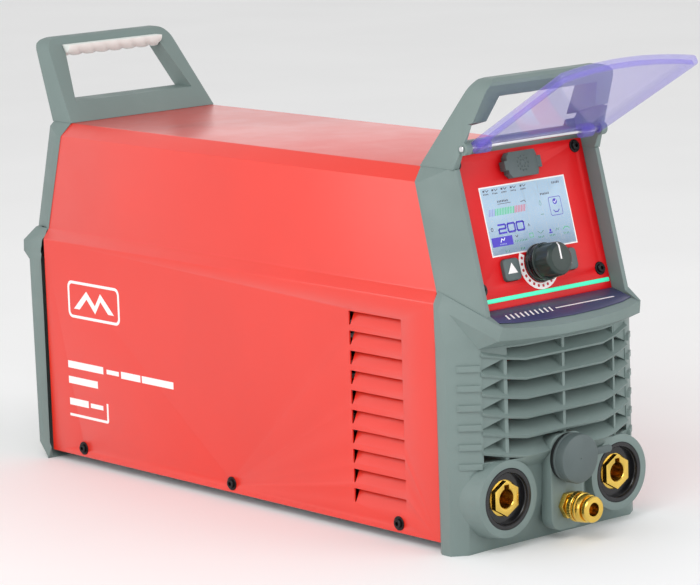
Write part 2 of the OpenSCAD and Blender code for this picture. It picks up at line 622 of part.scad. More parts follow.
// ---------- control connector and gas coupler ----------
module connector_plate() color([0.42, 0.49, 0.48]) at_front() difference() {
    along_y(plate_y - 1.5, plate_back - 0.05) translate([0, plate_mid_z]) polygon(rounded(31, 66, 9));
    translate([0, 0, connector_z]) rod_y(5, 60, 13.2);
    translate([0, 0, coupler_z]) rod_y(5, 60, 6.1);
}
module control_connector() color([0.08, 0.08, 0.09]) at_front() translate([0, 0, connector_z]) difference() {
    union() {
        translate([0, plate_y - 1.6, 0]) rod_y(0, 2.6, 16.2);
        translate([0, plate_y + 18, 0]) rod_y(0, 30, 13.1);
    }
    translate([0, plate_y - 3, 0]) rod_y(0, 12, 11);
    for (a = [0:45:315]) rotate([0, a, 0]) translate([6.4, plate_y + 5, 0]) rod_y(0, 9, 1);
}
module connector_cap() color([0.3, 0.35, 0.36]) at_front() {
    translate([0, 0, connector_z]) difference() {
        union() {
            translate([0, plate_y - 4.6, 0]) rod_y(0, 9.2, 16.85);
            translate([0, plate_y - 13.8, 0]) rod_y(0, 0.8, 16.85, 16);
        }
        translate([0, plate_y + 10, 0]) rod_y(0, 22.4, 13.5);
    }
    box([16, plate_y - 6.8, connector_z - 2.5], [strap_x, plate_y - 4.8, connector_z + 2.5]);
}
module gas_coupler_body() color([0.85, 0.66, 0.22]) at_front() translate([0, 0, coupler_z]) difference() {
    union() {
        translate([0, -4.05, 0]) rod_y(0, 8.2, 4);
        translate([0, -12, 0]) rod_y(0, 28, 6);
        translate([0, plate_y - 1.55, 0]) rotate([90, 0, 0]) cylinder(h = 4.4, r = 9.8, $fn = 6);
        translate([0, plate_y - 5, 0]) rod_y(0, 17.7, 6.9);
        translate([0, plate_y - 21.7, 0]) rod_y(0, 2.4, 6.9, 8.6);
        translate([0, plate_y - 24.1, 0]) rod_y(0, 2.4, 8.6, 8.2);
    }
    translate([0, plate_y - 10.7, 0]) rod_y(0, 30, coupler_bore_r);
    translate([0, -5, 0]) rod_y(0, 100, 1.6);
}
module gas_coupler_sleeve() color([0.85, 0.66, 0.22]) at_front() translate([0, 0, coupler_z]) difference() {
    union() {
        translate([0, plate_y - 9.6, 0]) rod_y(0, 4, 10.4);
        translate([0, plate_y - 13.6, 0]) rod_y(0, 1.2, 9.2);
        translate([0, plate_y - 14.8, 0]) rod_y(0, 6.5, 10.2, 9.6);
    }
    translate([0, plate_y, 0]) rod_y(0, 40, 6.95);
}

// ---------- inside ----------
module control_board() color([0.1, 0.4, 0.2]) on_panel() {
    difference() {
        box([-46, -68, -17.2], [46, 15.6, -15.6]);
        for (x = [-42, 42]) for (y = [-64, 11.6]) translate([x, y, -20]) cylinder(h = 8, r = 1.7);
    }
    both_sides() box([button_x - 3, button_y - 3, -15.6], [button_x + 3, button_y + 3, -8.6]);
    box([-40, -36, -21], [-20, -16, -17.2]);
    box([10, -30, -22], [34, -22, -17.2]);
}
module power_board() color([0.1, 0.36, 0.2]) at_front() {
    box([-70, 70, 30], [70, 372, 31.8]);
    both_sides() for (y = [80, 220, 360]) translate([62, y, 9.6]) cylinder(h = 20.4, r = 4);
    box([-66, 330, 31.8], [-40, 356, 50]);
    box([-66, 290, 31.8], [-46, 320, 44]);
}
module heatsink_body() difference() {
    box([0, 110, 62], [26, 300, 150]);
    for (i = [0:8]) box([5, 109, 66 + i * 9.4], [27, 301, 72 + i * 9.4]);
}
module heatsinks() color([0.7, 0.72, 0.74]) at_front() both_sides() translate([40, 0, 0]) heatsink_body();
module power_modules() color([0.12, 0.12, 0.13]) at_front() both_sides() for (y = [130, 175, 220, 265])
    box([34.2, y, 70], [39.9, y + 22, 92]);
module capacitors() color([0.15, 0.2, 0.45]) at_front() for (i = [0:2])
    translate([0, 248 + 44 * i, 31.85]) cylinder(h = 46, r = 17.5);
module transformer_core() color([0.25, 0.25, 0.27]) at_front() difference() {
    box([-28, 84, 98], [28, 140, 148]);
    both_sides() box([9, 80, 108], [20, 144, 138]);
}
module transformer_winding() color([0.75, 0.45, 0.2]) at_front() difference() {
    box([-19.7, 73, 108.3], [19.7, 151, 137.7]);
    box([-9.3, 83.7, 100], [9.3, 140.3, 150]);
}
module output_inductor() color([0.72, 0.42, 0.18]) at_front() translate([0, 182, 120])
    rotate([90, 0, 0]) rotate_extrude() translate([20, 0]) circle(r = 9);
module arc_start_coil() color([0.2, 0.22, 0.5]) at_front() translate([-socket_span / 2, 40, socket_z + 58.5])
    rotate([90, 0, 0]) rotate_extrude() translate([15.5, 0]) circle(r = 6);
module busbars() color([0.82, 0.5, 0.28]) at_front() both_sides() {
    box([socket_span / 2 - 8, 7.9, socket_z - 8], [socket_span / 2 + 8, 10.9, socket_z + 60]);
    box([socket_span / 2 - 8, 10.9, socket_z + 57], [socket_span / 2 + 8, 109.5, socket_z + 60]);
}
module gas_valve_body() color([0.85, 0.68, 0.3]) at_front() translate([inlet_x, 392, inlet_z - 4]) {
    cube([18, 20, 18], center = true);
    translate([0, 14.9, 4]) rod_y(0, 5, 4);
}
module gas_valve_coil() color([0.1, 0.1, 0.12]) at_front() translate([inlet_x, 392, inlet_z + 5.05])
    cylinder(h = 30, r = 9);
module gas_hose() color([0.12, 0.12, 0.14]) at_front() {
    translate([inlet_x, 381.9, inlet_z - 4]) rod_y(0, 372, 3);
    translate([inlet_x, 9.9, inlet_z - 4]) sphere(r = 3);
    translate([inlet_x, 9.9, inlet_z - 4]) rotate([0, 90, 0]) cylinder(h = -inlet_x, r = 3);
    translate([0, 9.9, inlet_z - 4]) sphere(r = 3);
    translate([0, 9.9, inlet_z - 4]) rod_y(0, 13.9, 3);
}

// ---------- rear fittings ----------
module gas_inlet() color([0.85, 0.66, 0.22]) at_rear() translate([inlet_x, 0, inlet_z]) difference() {
    union() {
        rod_y(18, 48, 4);
        translate([0, -15.35, 0]) rotate([90, 0, 0]) cylinder(h = 4.6, r = 9, $fn = 6);
        translate([0, -22, 0]) rod_y(0, 3, 5, 4);
        translate([0, -26, 0]) rod_y(0, 3, 5, 4);
        rod_y(-11.8, 4, 5.9);
    }
    translate([0, 20, 0]) rod_y(0, 60, 2);
}
module fan_frame() color([0.1, 0.1, 0.11]) at_rear() translate([0, 0, fan_z]) {
    difference() {
        box([-40, -11.7, -40], [40, 13.3, 40]);
        translate([0, 20, 0]) rod_y(0, 40, 37.8);
        for (x = [-36, 36]) for (z = [-36, 36]) translate([x, 20, z]) rod_y(0, 40, 2.1);
        both_sides() box([38.8, -8.7, -30], [50, 10.3, 30]);
    }
    translate([0, 13.3, 0]) rod_y(0, 2.6, 15);
    translate([0, 10.8, 0]) rod_y(0, 14, fan_axle_r);
    for (a = [0, 120, 240]) rotate([0, a, 0]) box([12, 10.9, -2], [38.2, 13.1, 2]);
}
module fan_rotor() color([0.14, 0.14, 0.15]) at_rear() translate([0, 0, fan_z]) difference() {
    union() {
        translate([0, 10, 0]) rod_y(0, 18, 16);
        for (i = [0:fan_blades - 1]) rotate([0, i * 360 / fan_blades, 0]) translate([25, 1, 0])
            rotate([40, 0, 0]) cube([22, 1.6, 20], center = true);
    }
    translate([0, 11, 0]) rod_y(0, 15, fan_axle_r + 0.05);
}
module fan_guard() color([0.75, 0.76, 0.78]) at_rear() translate([0, -17.8, fan_z]) rotate([90, 0, 0]) {
    for (r = [8, 17, 26, 35]) difference() {
        cylinder(h = 1.6, r = r + 0.9);
        translate([0, 0, -1]) cylinder(h = 4, r = r - 0.9);
    }
    for (a = [45, 135]) rotate(a) translate([-47, -0.9, 0]) cube([94, 1.8, 1.5]);
    for (x = [-36, 36]) for (y = [-36, 36]) translate([x, y, -1]) difference() {
        cylinder(h = 2, r = 4.4);
        translate([0, 0, -1]) cylinder(h = 4, r = 2.1);
    }
}
module fan_screws() color([0.7, 0.7, 0.72]) at_rear() for (x = [-36, 36]) for (z = [-36, 36])
    translate([x, 0, fan_z + z]) { rod_y(-18.9, 2.2, 3.6); rod_y(6, 25, 2); }
module on_rear_panel() at_rear() at_panel() translate([0, rear_upper_z - panel_z, rear_face_n]) children();
module power_switch_body() color([0.06, 0.06, 0.07]) on_rear_panel() translate([-switch_x, 0, 0])
difference() {
    union() {
        box([-8.6, -13, 0.05], [8.6, 13, 2]);
        box([-6.6, -11.1, -16], [6.6, 11.1, 0.1]);
    }
    box([-5, -9.6, -10], [5, 9.6, 3]);
    translate([0, 0, rocker_n]) rod_x(12, rocker_pivot_r + 0.05);
}
module switch_rocker() color([0.7, 0.1, 0.1]) on_rear_panel() translate([-switch_x, 0, rocker_n])
    rotate([-rocker_swing, 0, 0]) {
        along_x(9.4) polygon([[-8.7, 3.9], [-8.3, 4.7], [0, 3.3], [8.3, 4.7], [8.7, 3.9], [7.8, -1.5],
            [3, -4], [-3, -4], [-7.8, -1.5]]);
        rod_x(11.6, rocker_pivot_r);
    }
module cable_gland() color([0.06, 0.06, 0.07]) on_rear_panel() translate([-gland_x, 0, 0]) difference() {
    union() {
        translate([0, 0, -14]) cylinder(h = 14.2, r = 8);
        translate([0, 0, 0.1]) cylinder(h = 5, r = 12, $fn = 6);
        translate([0, 0, 5]) cylinder(h = 9, r1 = 10.4, r2 = 8.4);
        translate([0, 0, -8.4]) cylinder(h = 4.6, r = 11.5, $fn = 6);
    }
    translate([0, 0, -20]) cylinder(h = 50, r = 5);
}
module rating_plate() color([0.75, 0.76, 0.78]) on_rear_panel() box([-21, -10, 0.05], [21, 12, 0.6]);

base_tray();
top_cover();
cover_screws();
frame_screws();
front_bezel();
front_handle();
front_grip();
rear_bezel();
rear_handle();
rear_grip();
control_panel();
panel_screws();
display_module();
display_glass();
led_strip();
label_band();
dial_ring();
left_button();
right_button();
encoder_body();
encoder_plunger();
encoder_shaft();
knob_skirt();
knob();
port_socket();
port_cover();
lid();
lid_pin();
left_socket_body();
left_socket_insert();
right_socket_body();
right_socket_insert();
connector_plate();
control_connector();
connector_cap();
gas_coupler_body();
gas_coupler_sleeve();
control_board();
power_board();
heatsinks();
power_modules();
capacitors();
transformer_core();
transformer_winding();
output_inductor();
arc_start_coil();
busbars();
gas_valve_body();
gas_valve_coil();
gas_hose();
gas_inlet();
fan_frame();
fan_rotor();
fan_guard();
fan_screws();
power_switch_body();
switch_rocker();
cable_gland();
rating_plate();
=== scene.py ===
"""Portable inverter welding machine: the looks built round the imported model."""
import json
import math
import random

import bmesh
import bpy
from mathutils import Matrix, Vector


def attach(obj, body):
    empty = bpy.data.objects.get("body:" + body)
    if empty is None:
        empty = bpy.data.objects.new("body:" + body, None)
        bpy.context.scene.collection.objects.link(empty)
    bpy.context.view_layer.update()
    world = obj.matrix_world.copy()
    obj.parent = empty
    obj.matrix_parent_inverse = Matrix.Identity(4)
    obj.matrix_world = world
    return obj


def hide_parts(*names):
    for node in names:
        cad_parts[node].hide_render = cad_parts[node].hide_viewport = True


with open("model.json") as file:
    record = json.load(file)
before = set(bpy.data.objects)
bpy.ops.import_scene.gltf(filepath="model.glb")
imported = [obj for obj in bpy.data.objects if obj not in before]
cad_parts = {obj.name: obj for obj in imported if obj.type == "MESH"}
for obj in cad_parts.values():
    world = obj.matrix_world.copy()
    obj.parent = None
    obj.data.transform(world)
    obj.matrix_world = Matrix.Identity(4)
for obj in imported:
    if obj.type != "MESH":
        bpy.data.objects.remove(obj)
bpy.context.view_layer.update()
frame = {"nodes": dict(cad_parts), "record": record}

scene = bpy.context.scene

# ---------- sizes, in millimetres ----------
MM = 0.001
FRONT_Y = -178.3
COVER_LEN = 433.6
REAR_Y = FRONT_Y + COVER_LEN
PANEL_TILT = math.radians(15.12)
PANEL_AT = (-1.23, 239.92)
REAR_FACE = 1
REAR_FITTINGS_Z = 214
HINGE = (-14.5, 270)
LID_OPEN = math.radians(30)
LID_LEN = 106
LID_BULGE = 5.2
SOCKET_X = 52.1
SOCKET_Z = 36.4
SOCKET_FACE = -36.3
CONNECTOR_Z = 57
COUPLER_Z = 24
PLATE_Y = -37.6
KNOB_UP = -56
BUTTON_X = 26.5
BUTTON_UP = -57
PORT_UP = 11.5
DISPLAY_W = 79.2
DISPLAY_H = 47
GRIP_R = 9
GRIP_HALF = 44.4
GRIP_AT = (-14.5, 310.5)
COVER_SCREW_YS = (40.9, 219.2, 394.6)
COVER_SCREW_Z = 12.8
COVER_R = 81.3
PRINT = 0.05          # how thick printed marks stand
KNOB_FACE = 22.95
KEY_TOP = 2.88        # the buttons' faces, where their marks start
KNUCKLE_X = 48


# ---------- places ----------
def shift(x, y, z):
    return Matrix.Translation((x, y, z))


def turn(degrees, axis):
    return Matrix.Rotation(math.radians(degrees), 4, axis)


SCALE = Matrix.Scale(MM, 4)
FRONT = SCALE @ shift(0, FRONT_Y, 0)
REAR = SCALE @ shift(0, REAR_Y, 0) @ Matrix.Diagonal((1, -1, 1, 1))
# A panel's own frame: +Y up the slope and +Z out of its face.
SLOPE = shift(0, *PANEL_AT) @ Matrix.Rotation(math.pi / 2 - PANEL_TILT, 4, "X")
PANEL = FRONT @ SLOPE
REAR_PANEL = REAR @ SLOPE @ shift(0, REAR_FITTINGS_Z - PANEL_AT[1], REAR_FACE)
# The lid's own frame: -Y out from the hinge and +Z out of its outer face.
LID = FRONT @ shift(0, *HINGE) @ Matrix.Rotation(-LID_OPEN, 4, "X")


def out_of_front(x, z):
    """A frame at (x, z) on the front whose +Z points out of the machine."""
    return FRONT @ shift(x, 0, z) @ turn(90, "X")


# ---------- camera, light and floor ----------
def look():
    azimuth, elevation, roll = (math.radians(a) for a in (-40.85234, 10.03255, -1.91424))
    back = Vector((math.sin(azimuth) * math.cos(elevation), -math.cos(azimuth) * math.cos(elevation),
                   math.sin(elevation)))
    level = (-back).cross(Vector((0, 0, 1))).normalized()
    upright = level.cross(-back)
    right = level * math.cos(roll) + upright * math.sin(roll)
    up = upright * math.cos(roll) - level * math.sin(roll)
    data = bpy.data.cameras.new("camera")
    data.lens = 177.91
    data.sensor_width = 36
    data.clip_end = 50
    camera = bpy.data.objects.new("camera", data)
    camera.matrix_world = Matrix((
        (right.x, up.x, back.x, -1.58825), (right.y, up.y, back.y, -1.8372),
        (right.z, up.z, back.z, 0.57386), (0, 0, 0, 1)))
    scene.collection.objects.link(camera)
    scene.camera = camera


def softbox(name, place, aim, width, height, power):
    data = bpy.data.lights.new(name, "AREA")
    data.shape = "RECTANGLE"
    data.size = width
    data.size_y = height
    data.energy = power
    lamp = bpy.data.objects.new(name, data)
    lamp.location = place
    lamp.rotation_euler = (Vector(aim) - Vector(place)).to_track_quat("-Z", "Y").to_euler()
    scene.collection.objects.link(lamp)


def studio():
    """White all round at floor height, a little darker overhead."""
    world = bpy.data.worlds.new("studio")
    world.use_nodes = True
    nodes = world.node_tree.nodes
    wire = world.node_tree.links.new
    background = nodes["Background"]
    background.inputs["Strength"].default_value = 0.98
    way = nodes.new("ShaderNodeTexCoord")
    height = nodes.new("ShaderNodeSeparateXYZ")
    wire(way.outputs["Generated"], height.inputs[0])
    ramp = nodes.new("ShaderNodeMapRange")
    ramp.inputs["From Min"].default_value = 0.1
    ramp.inputs["From Max"].default_value = 0.9
    ramp.inputs["To Min"].default_value = 1
    ramp.inputs["To Max"].default_value = 0.7
    wire(height.outputs["Z"], ramp.inputs["Value"])
    wire(ramp.outputs["Result"], background.inputs["Color"])
    scene.world = world
    scene.view_settings.view_transform = "Standard"
    middle = (0, 0, 0.16)
    softbox("key", (-1.5, -1.1, 1.7), middle, 1.2, 1.2, 18)
    softbox("front_fill", (0.9, -2.2, 0.9), middle, 1.4, 1.4, 12)
    softbox("left_fill", (-2.4, 0.6, 0.8), middle, 1.6, 1.2, 12)


# ---------- materials ----------
def linear(red, green, blue):
    """Scene-linear colour of an sRGB colour given from 0 to 255."""
    def one(value):
        value /= 255
        return value / 12.92 if value <= 0.04045 else ((value + 0.055) / 1.055) ** 2.4
    return (one(red), one(green), one(blue), 1)


class Finish:
    """A material whose colour, roughness and bump come from noise in object coordinates."""

    def __init__(self, name, colour, roughness, **sockets):
        self.material = bpy.data.materials.new(name)
        self.material.use_nodes = True
        self.nodes = self.material.node_tree.nodes
        self.links = self.material.node_tree.links
        self.shader = self.nodes["Principled BSDF"]
        self.shader.inputs["Base Color"].default_value = colour
        self.shader.inputs["Roughness"].default_value = roughness
        self.material.diffuse_color = colour
        for socket, value in sockets.items():
            self.shader.inputs[socket.replace("_", " ")].default_value = value
        self.place = self.nodes.new("ShaderNodeTexCoord").outputs["Object"]
        self.bumped = None

    def noise(self, scale, detail=2.0, stretch=None):
        source = self.place
        if stretch:
            mapping = self.nodes.new("ShaderNodeMapping")
            mapping.inputs["Scale"].default_value = stretch
            self.links.new(source, mapping.inputs["Vector"])
            source = mapping.outputs["Vector"]
        node = self.nodes.new("ShaderNodeTexNoise")
        node.inputs["Scale"].default_value = scale
        node.inputs["Detail"].default_value = detail
        self.links.new(source, node.inputs["Vector"])
        return node.outputs["Fac"]

    def spread(self, factor, low, high):
        """The factor's middle stretch, from 0.35 to 0.65, spread from low to high."""
        node = self.nodes.new("ShaderNodeMapRange")
        node.inputs["From Min"].default_value = 0.35
        node.inputs["From Max"].default_value = 0.65
        node.inputs["To Min"].default_value = low
        node.inputs["To Max"].default_value = high
        self.links.new(factor, node.inputs["Value"])
        return node.outputs["Result"]

    def mottle(self, scale, dark, light, detail=3.0, stretch=None):
        """Varies the base colour between two colours."""
        mix = self.nodes.new("ShaderNodeMix")
        mix.data_type = "RGBA"
        mix.inputs["A"].default_value = dark
        mix.inputs["B"].default_value = light
        self.links.new(self.spread(self.noise(scale, detail, stretch), 0, 1), mix.inputs["Factor"])
        self.links.new(mix.outputs["Result"], self.shader.inputs["Base Color"])
        return self

    def rub(self, scale, low, high, stretch=None):
        """Varies the roughness."""
        self.links.new(self.spread(self.noise(scale, 4, stretch), low, high), self.shader.inputs["Roughness"])
        return self

    def grain(self, scale, depth, detail=2.0, stretch=None):
        """Adds bump of a depth in millimetres."""
        bump = self.nodes.new("ShaderNodeBump")
        bump.inputs["Strength"].default_value = 1
        bump.inputs["Distance"].default_value = depth * MM
        self.links.new(self.noise(scale, detail, stretch), bump.inputs["Height"])
        if self.bumped:
            self.links.new(self.bumped, bump.inputs["Normal"])
        self.bumped = bump.outputs["Normal"]
        self.links.new(self.bumped, self.shader.inputs["Normal"])
        return self


def shades(colour, low, high):
    return [tuple(channel * k for channel in colour[:3]) + (1,) for k in (low, high)]


def mottled(name, colour, roughness, contrast, scale, **sockets):
    finish = Finish(name, colour, roughness, **sockets)
    return finish.mottle(scale, *shades(colour, 1 - contrast, 1 + contrast))


def tinted_clear():
    """Clear violet moulding: each wall lets most of the light through, so edges look deeper than panes."""
    return Finish("clear_lid", linear(126, 112, 222), 0.06, Alpha=0.3, Coat_Weight=0.4, Coat_Roughness=0.05)


def make_finishes():
    made = {}
    cover = mottled("cover_paint", linear(222, 44, 26), 0.34, 0.03, 9, Coat_Weight=0.6, Coat_Roughness=0.22)
    made["cover_paint"] = cover.rub(30, 0.3, 0.38).grain(900, 0.02)
    made["panel_red"] = mottled("panel_red", linear(214, 8, 16), 0.42, 0.03, 40,
                                Specular_IOR_Level=0.3).grain(2600, 0.008)
    grey = mottled("grey_plastic", linear(112, 128, 125), 0.5, 0.05, 14)
    made["grey_plastic"] = grey.rub(60, 0.44, 0.58).grain(1500, 0.045).grain(500, 0.03)
    made["grip_plastic"] = mottled("grip_plastic", linear(232, 236, 232), 0.5, 0.02, 60).grain(1600, 0.02)
    made["black_plastic"] = mottled("black_plastic", linear(26, 27, 29), 0.45, 0.12, 60).grain(1500, 0.03)
    made["socket_black"] = mottled("socket_black", linear(26, 26, 29), 0.18, 0.1, 90).rub(90, 0.14, 0.26)
    made["gloss_black"] = mottled("gloss_black", linear(20, 22, 24), 0.12, 0.1, 80).rub(120, 0.08, 0.18)
    made["knob_plastic"] = mottled("knob_plastic", linear(40, 54, 50), 0.3, 0.06, 90).grain(1800, 0.012)
    made["button_rubber"] = mottled("button_rubber", linear(84, 96, 96), 0.55, 0.05, 120).grain(1500, 0.02)
    made["cap_rubber"] = mottled("cap_rubber", linear(82, 94, 94), 0.5, 0.05, 60).grain(1500, 0.03)
    brass = mottled("brass", linear(226, 190, 92), 0.2, 0.1, 60, Metallic=1.0)
    made["brass"] = brass.rub(120, 0.14, 0.3).grain(700, 0.02)
    steel = mottled("bright_steel", linear(214, 214, 216), 0.2, 0.06, 80, Metallic=1.0)
    made["bright_steel"] = steel.rub(120, 0.14, 0.28)
    zinc = mottled("zinc_screw", linear(196, 196, 200), 0.32, 0.08, 200, Metallic=1.0)
    made["zinc_screw"] = zinc.rub(300, 0.25, 0.4)
    sheet = mottled("galvanised_steel", linear(170, 174, 180), 0.4, 0.12, 60, Metallic=1.0)
    made["galvanised_steel"] = sheet.rub(40, 0.3, 0.5)
    made["black_screw"] = mottled("black_screw", linear(34, 34, 36), 0.35, 0.12, 300, Metallic=0.6)
    made["label_film"] = mottled("label_film", linear(58, 58, 96), 0.35, 0.04, 50).grain(2000, 0.006)
    made["print_white"] = mottled("print_white", linear(244, 240, 238), 0.4, 0.02, 300)
    made["print_red"] = mottled("print_red", linear(190, 30, 40), 0.4, 0.03, 300)
    made["plate_aluminium"] = mottled("plate_aluminium", linear(190, 192, 196), 0.35, 0.05, 60, Metallic=1.0)
    made["heatsink_aluminium"] = mottled("heatsink_aluminium", linear(186, 190, 194), 0.4, 0.06, 60,
                                         Metallic=1.0)
    made["circuit_board"] = mottled("circuit_board", linear(32, 110, 62), 0.4, 0.2, 400)
    made["capacitor_sleeve"] = mottled("capacitor_sleeve", linear(36, 50, 110), 0.25, 0.05, 90)
    made["ferrite"] = mottled("ferrite", linear(58, 58, 62), 0.5, 0.1, 200).grain(900, 0.03)
    copper = mottled("copper", linear(200, 124, 80), 0.3, 0.15, 200, Metallic=1.0)
    made["copper"] = copper.grain(500, 0.3, stretch=(0.05, 1, 0.05))
    made["coil_blue"] = mottled("coil_blue", linear(44, 52, 130), 0.3, 0.1, 200)
    made["hose_rubber"] = mottled("hose_rubber", linear(30, 30, 34), 0.5, 0.1, 90)
    made["rocker_red"] = mottled("rocker_red", linear(170, 24, 26), 0.25, 0.05, 90)
    made["clear_lid"] = tinted_clear()
    made["led_lens"] = Finish("led_lens", linear(70, 225, 178), 0.4, Emission_Strength=0.36,
                              Emission_Color=linear(70, 250, 190)).grain(900, 0.01)
    made["dial_white"] = made["print_white"]
    return {slot: finish.material for slot, finish in made.items()}


def make_display_finish():
    """The lit picture: its colours come from the piece's own attribute, over a fine grid of dots."""
    finish = Finish("display", linear(178, 206, 228), 0.25)
    tint = finish.nodes.new("ShaderNodeAttribute")
    tint.attribute_name = "tint"
    grid = finish.noise(2500, 0)
    mix = finish.nodes.new("ShaderNodeMix")
    mix.data_type = "RGBA"
    mix.blend_type = "MULTIPLY"
    mix.inputs["B"].default_value = (0.94, 0.95, 0.96, 1)
    finish.links.new(grid, mix.inputs["Factor"])
    finish.links.new(tint.outputs["Color"], mix.inputs["A"])
    finish.links.new(mix.outputs["Result"], finish.shader.inputs["Base Color"])
    finish.links.new(mix.outputs["Result"], finish.shader.inputs["Emission Color"])
    finish.shader.inputs["Emission Strength"].default_value = 0.16
    return finish.material


# ---------- making pieces ----------
def link(name, mesh):
    piece = bpy.data.objects.new(name, mesh)
    scene.collection.objects.link(piece)
    return piece


def evaluated(piece):
    """Applies the piece's modifiers to its mesh."""
    graph = bpy.context.evaluated_depsgraph_get()
    mesh = bpy.data.meshes.new_from_object(piece.evaluated_get(graph), depsgraph=graph)
    piece.modifiers.clear()
    piece.data = mesh
    return piece


def solid(name, points, faces, place):
    """A closed piece from points in its own frame, in millimetres."""
    mesh = bpy.data.meshes.new(name)
    mesh.from_pydata([tuple(p) for p in points], [], faces)
    mesh.transform(place)
    shape = bmesh.new()
    shape.from_mesh(mesh)
    bmesh.ops.recalc_face_normals(shape, faces=shape.faces)
    shape.to_mesh(mesh)
    shape.free()
    return link(name, mesh)


def prism(name, outline, low, high, place):
    """A straight-sided piece over an outline in (x, y), from z = low to z = high."""
    n = len(outline)
    points = [(x, y, low) for x, y in outline] + [(x, y, high) for x, y in outline]
    sides = [(i, (i + 1) % n, n + (i + 1) % n, n + i) for i in range(n)]
    return solid(name, points, [tuple(range(n))[::-1], tuple(range(n, 2 * n))] + sides, place)


def lathe(name, profile, place, steps=64, wave=None):
    """A turned piece; profile is (radius, height) along +Z, closed on itself unless it ends on the axis."""
    rings, points, faces = [], [], []
    for radius, height in profile:
        if radius == 0:
            rings.append([len(points)] * steps)
            points.append((0, 0, height))
            continue
        rings.append(list(range(len(points), len(points) + steps)))
        for i in range(steps):
            angle = 2 * math.pi * i / steps
            r = radius * (wave(angle, height) if wave else 1)
            points.append((r * math.cos(angle), r * math.sin(angle), height))
    pairs = list(zip(rings, rings[1:]))
    if profile[0][0] and profile[-1][0]:
        pairs.append((rings[-1], rings[0]))
    for a, b in pairs:
        for i in range(steps):
            j = (i + 1) % steps
            face = []
            for corner in (a[i], a[j], b[j], b[i]):
                if corner not in face:
                    face.append(corner)
            if len(face) > 2:
                faces.append(tuple(face))
    return solid(name, points, faces, place)


def merged_copy(name, *nodes):
    """A new mesh from CAD nodes, its triangles joined back into flat faces."""
    shape = bmesh.new()
    for node in nodes:
        shape.from_mesh(frame["nodes"][node].data)
    bmesh.ops.remove_doubles(shape, verts=shape.verts, dist=1e-6)
    bmesh.ops.dissolve_limit(shape, angle_limit=math.radians(1.5), verts=shape.verts, edges=shape.edges)
    mesh = bpy.data.meshes.new(name)
    shape.to_mesh(mesh)
    shape.free()
    return link(name, mesh)


def soften(piece, width, segments=2, angle=28):
    """Rounds the piece's edges by a width in millimetres."""
    bevel = piece.modifiers.new("soften", "BEVEL")
    bevel.width = width * MM
    bevel.segments = segments
    bevel.limit_method = "ANGLE"
    bevel.angle_limit = math.radians(angle)
    bevel.use_clamp_overlap = True
    bevel.harden_normals = False
    return evaluated(piece)


def dress(piece, body, finish, replaced=(), smooth=32):
    """Gives a finished piece its material, shading and body, and hides the parts it replaces."""
    piece.data.materials.clear()
    piece.data.materials.append(finish)
    for face in piece.data.polygons:
        face.use_smooth = True
    piece.data.set_sharp_from_angle(angle=math.radians(smooth))
    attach(piece, body)
    if replaced:
        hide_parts(*replaced)
    return piece


def joined(name, pieces):
    """One piece out of several."""
    shape = bmesh.new()
    for piece in pieces:
        shape.from_mesh(piece.data)
    mesh = bpy.data.meshes.new(name)
    shape.to_mesh(mesh)
    shape.free()
    for piece in pieces:
        bpy.data.objects.remove(piece)
    return link(name, mesh)


def cut(piece, tool, operation="DIFFERENCE"):
    boolean = piece.modifiers.new("cut", "BOOLEAN")
    boolean.operation = operation
    boolean.solver = "EXACT"
    boolean.object = tool
    evaluated(piece)
    bpy.data.objects.remove(tool)
    return piece


def arc(cx, cy, radius, start, end, steps):
    """Points round an arc, its angles in degrees."""
    angles = [math.radians(start + (end - start) * i / steps) for i in range(steps + 1)]
    return [(cx + radius * math.cos(a), cy + radius * math.sin(a)) for a in angles]


def rounded(width, height, radius, steps=6):
    """Outline of a rectangle with round corners."""
    x, y = width / 2 - radius, height / 2 - radius
    return (arc(x, y, radius, 0, 90, steps) + arc(-x, y, radius, 90, 180, steps)
            + arc(-x, -y, radius, 180, 270, steps) + arc(x, -y, radius, 270, 360, steps))


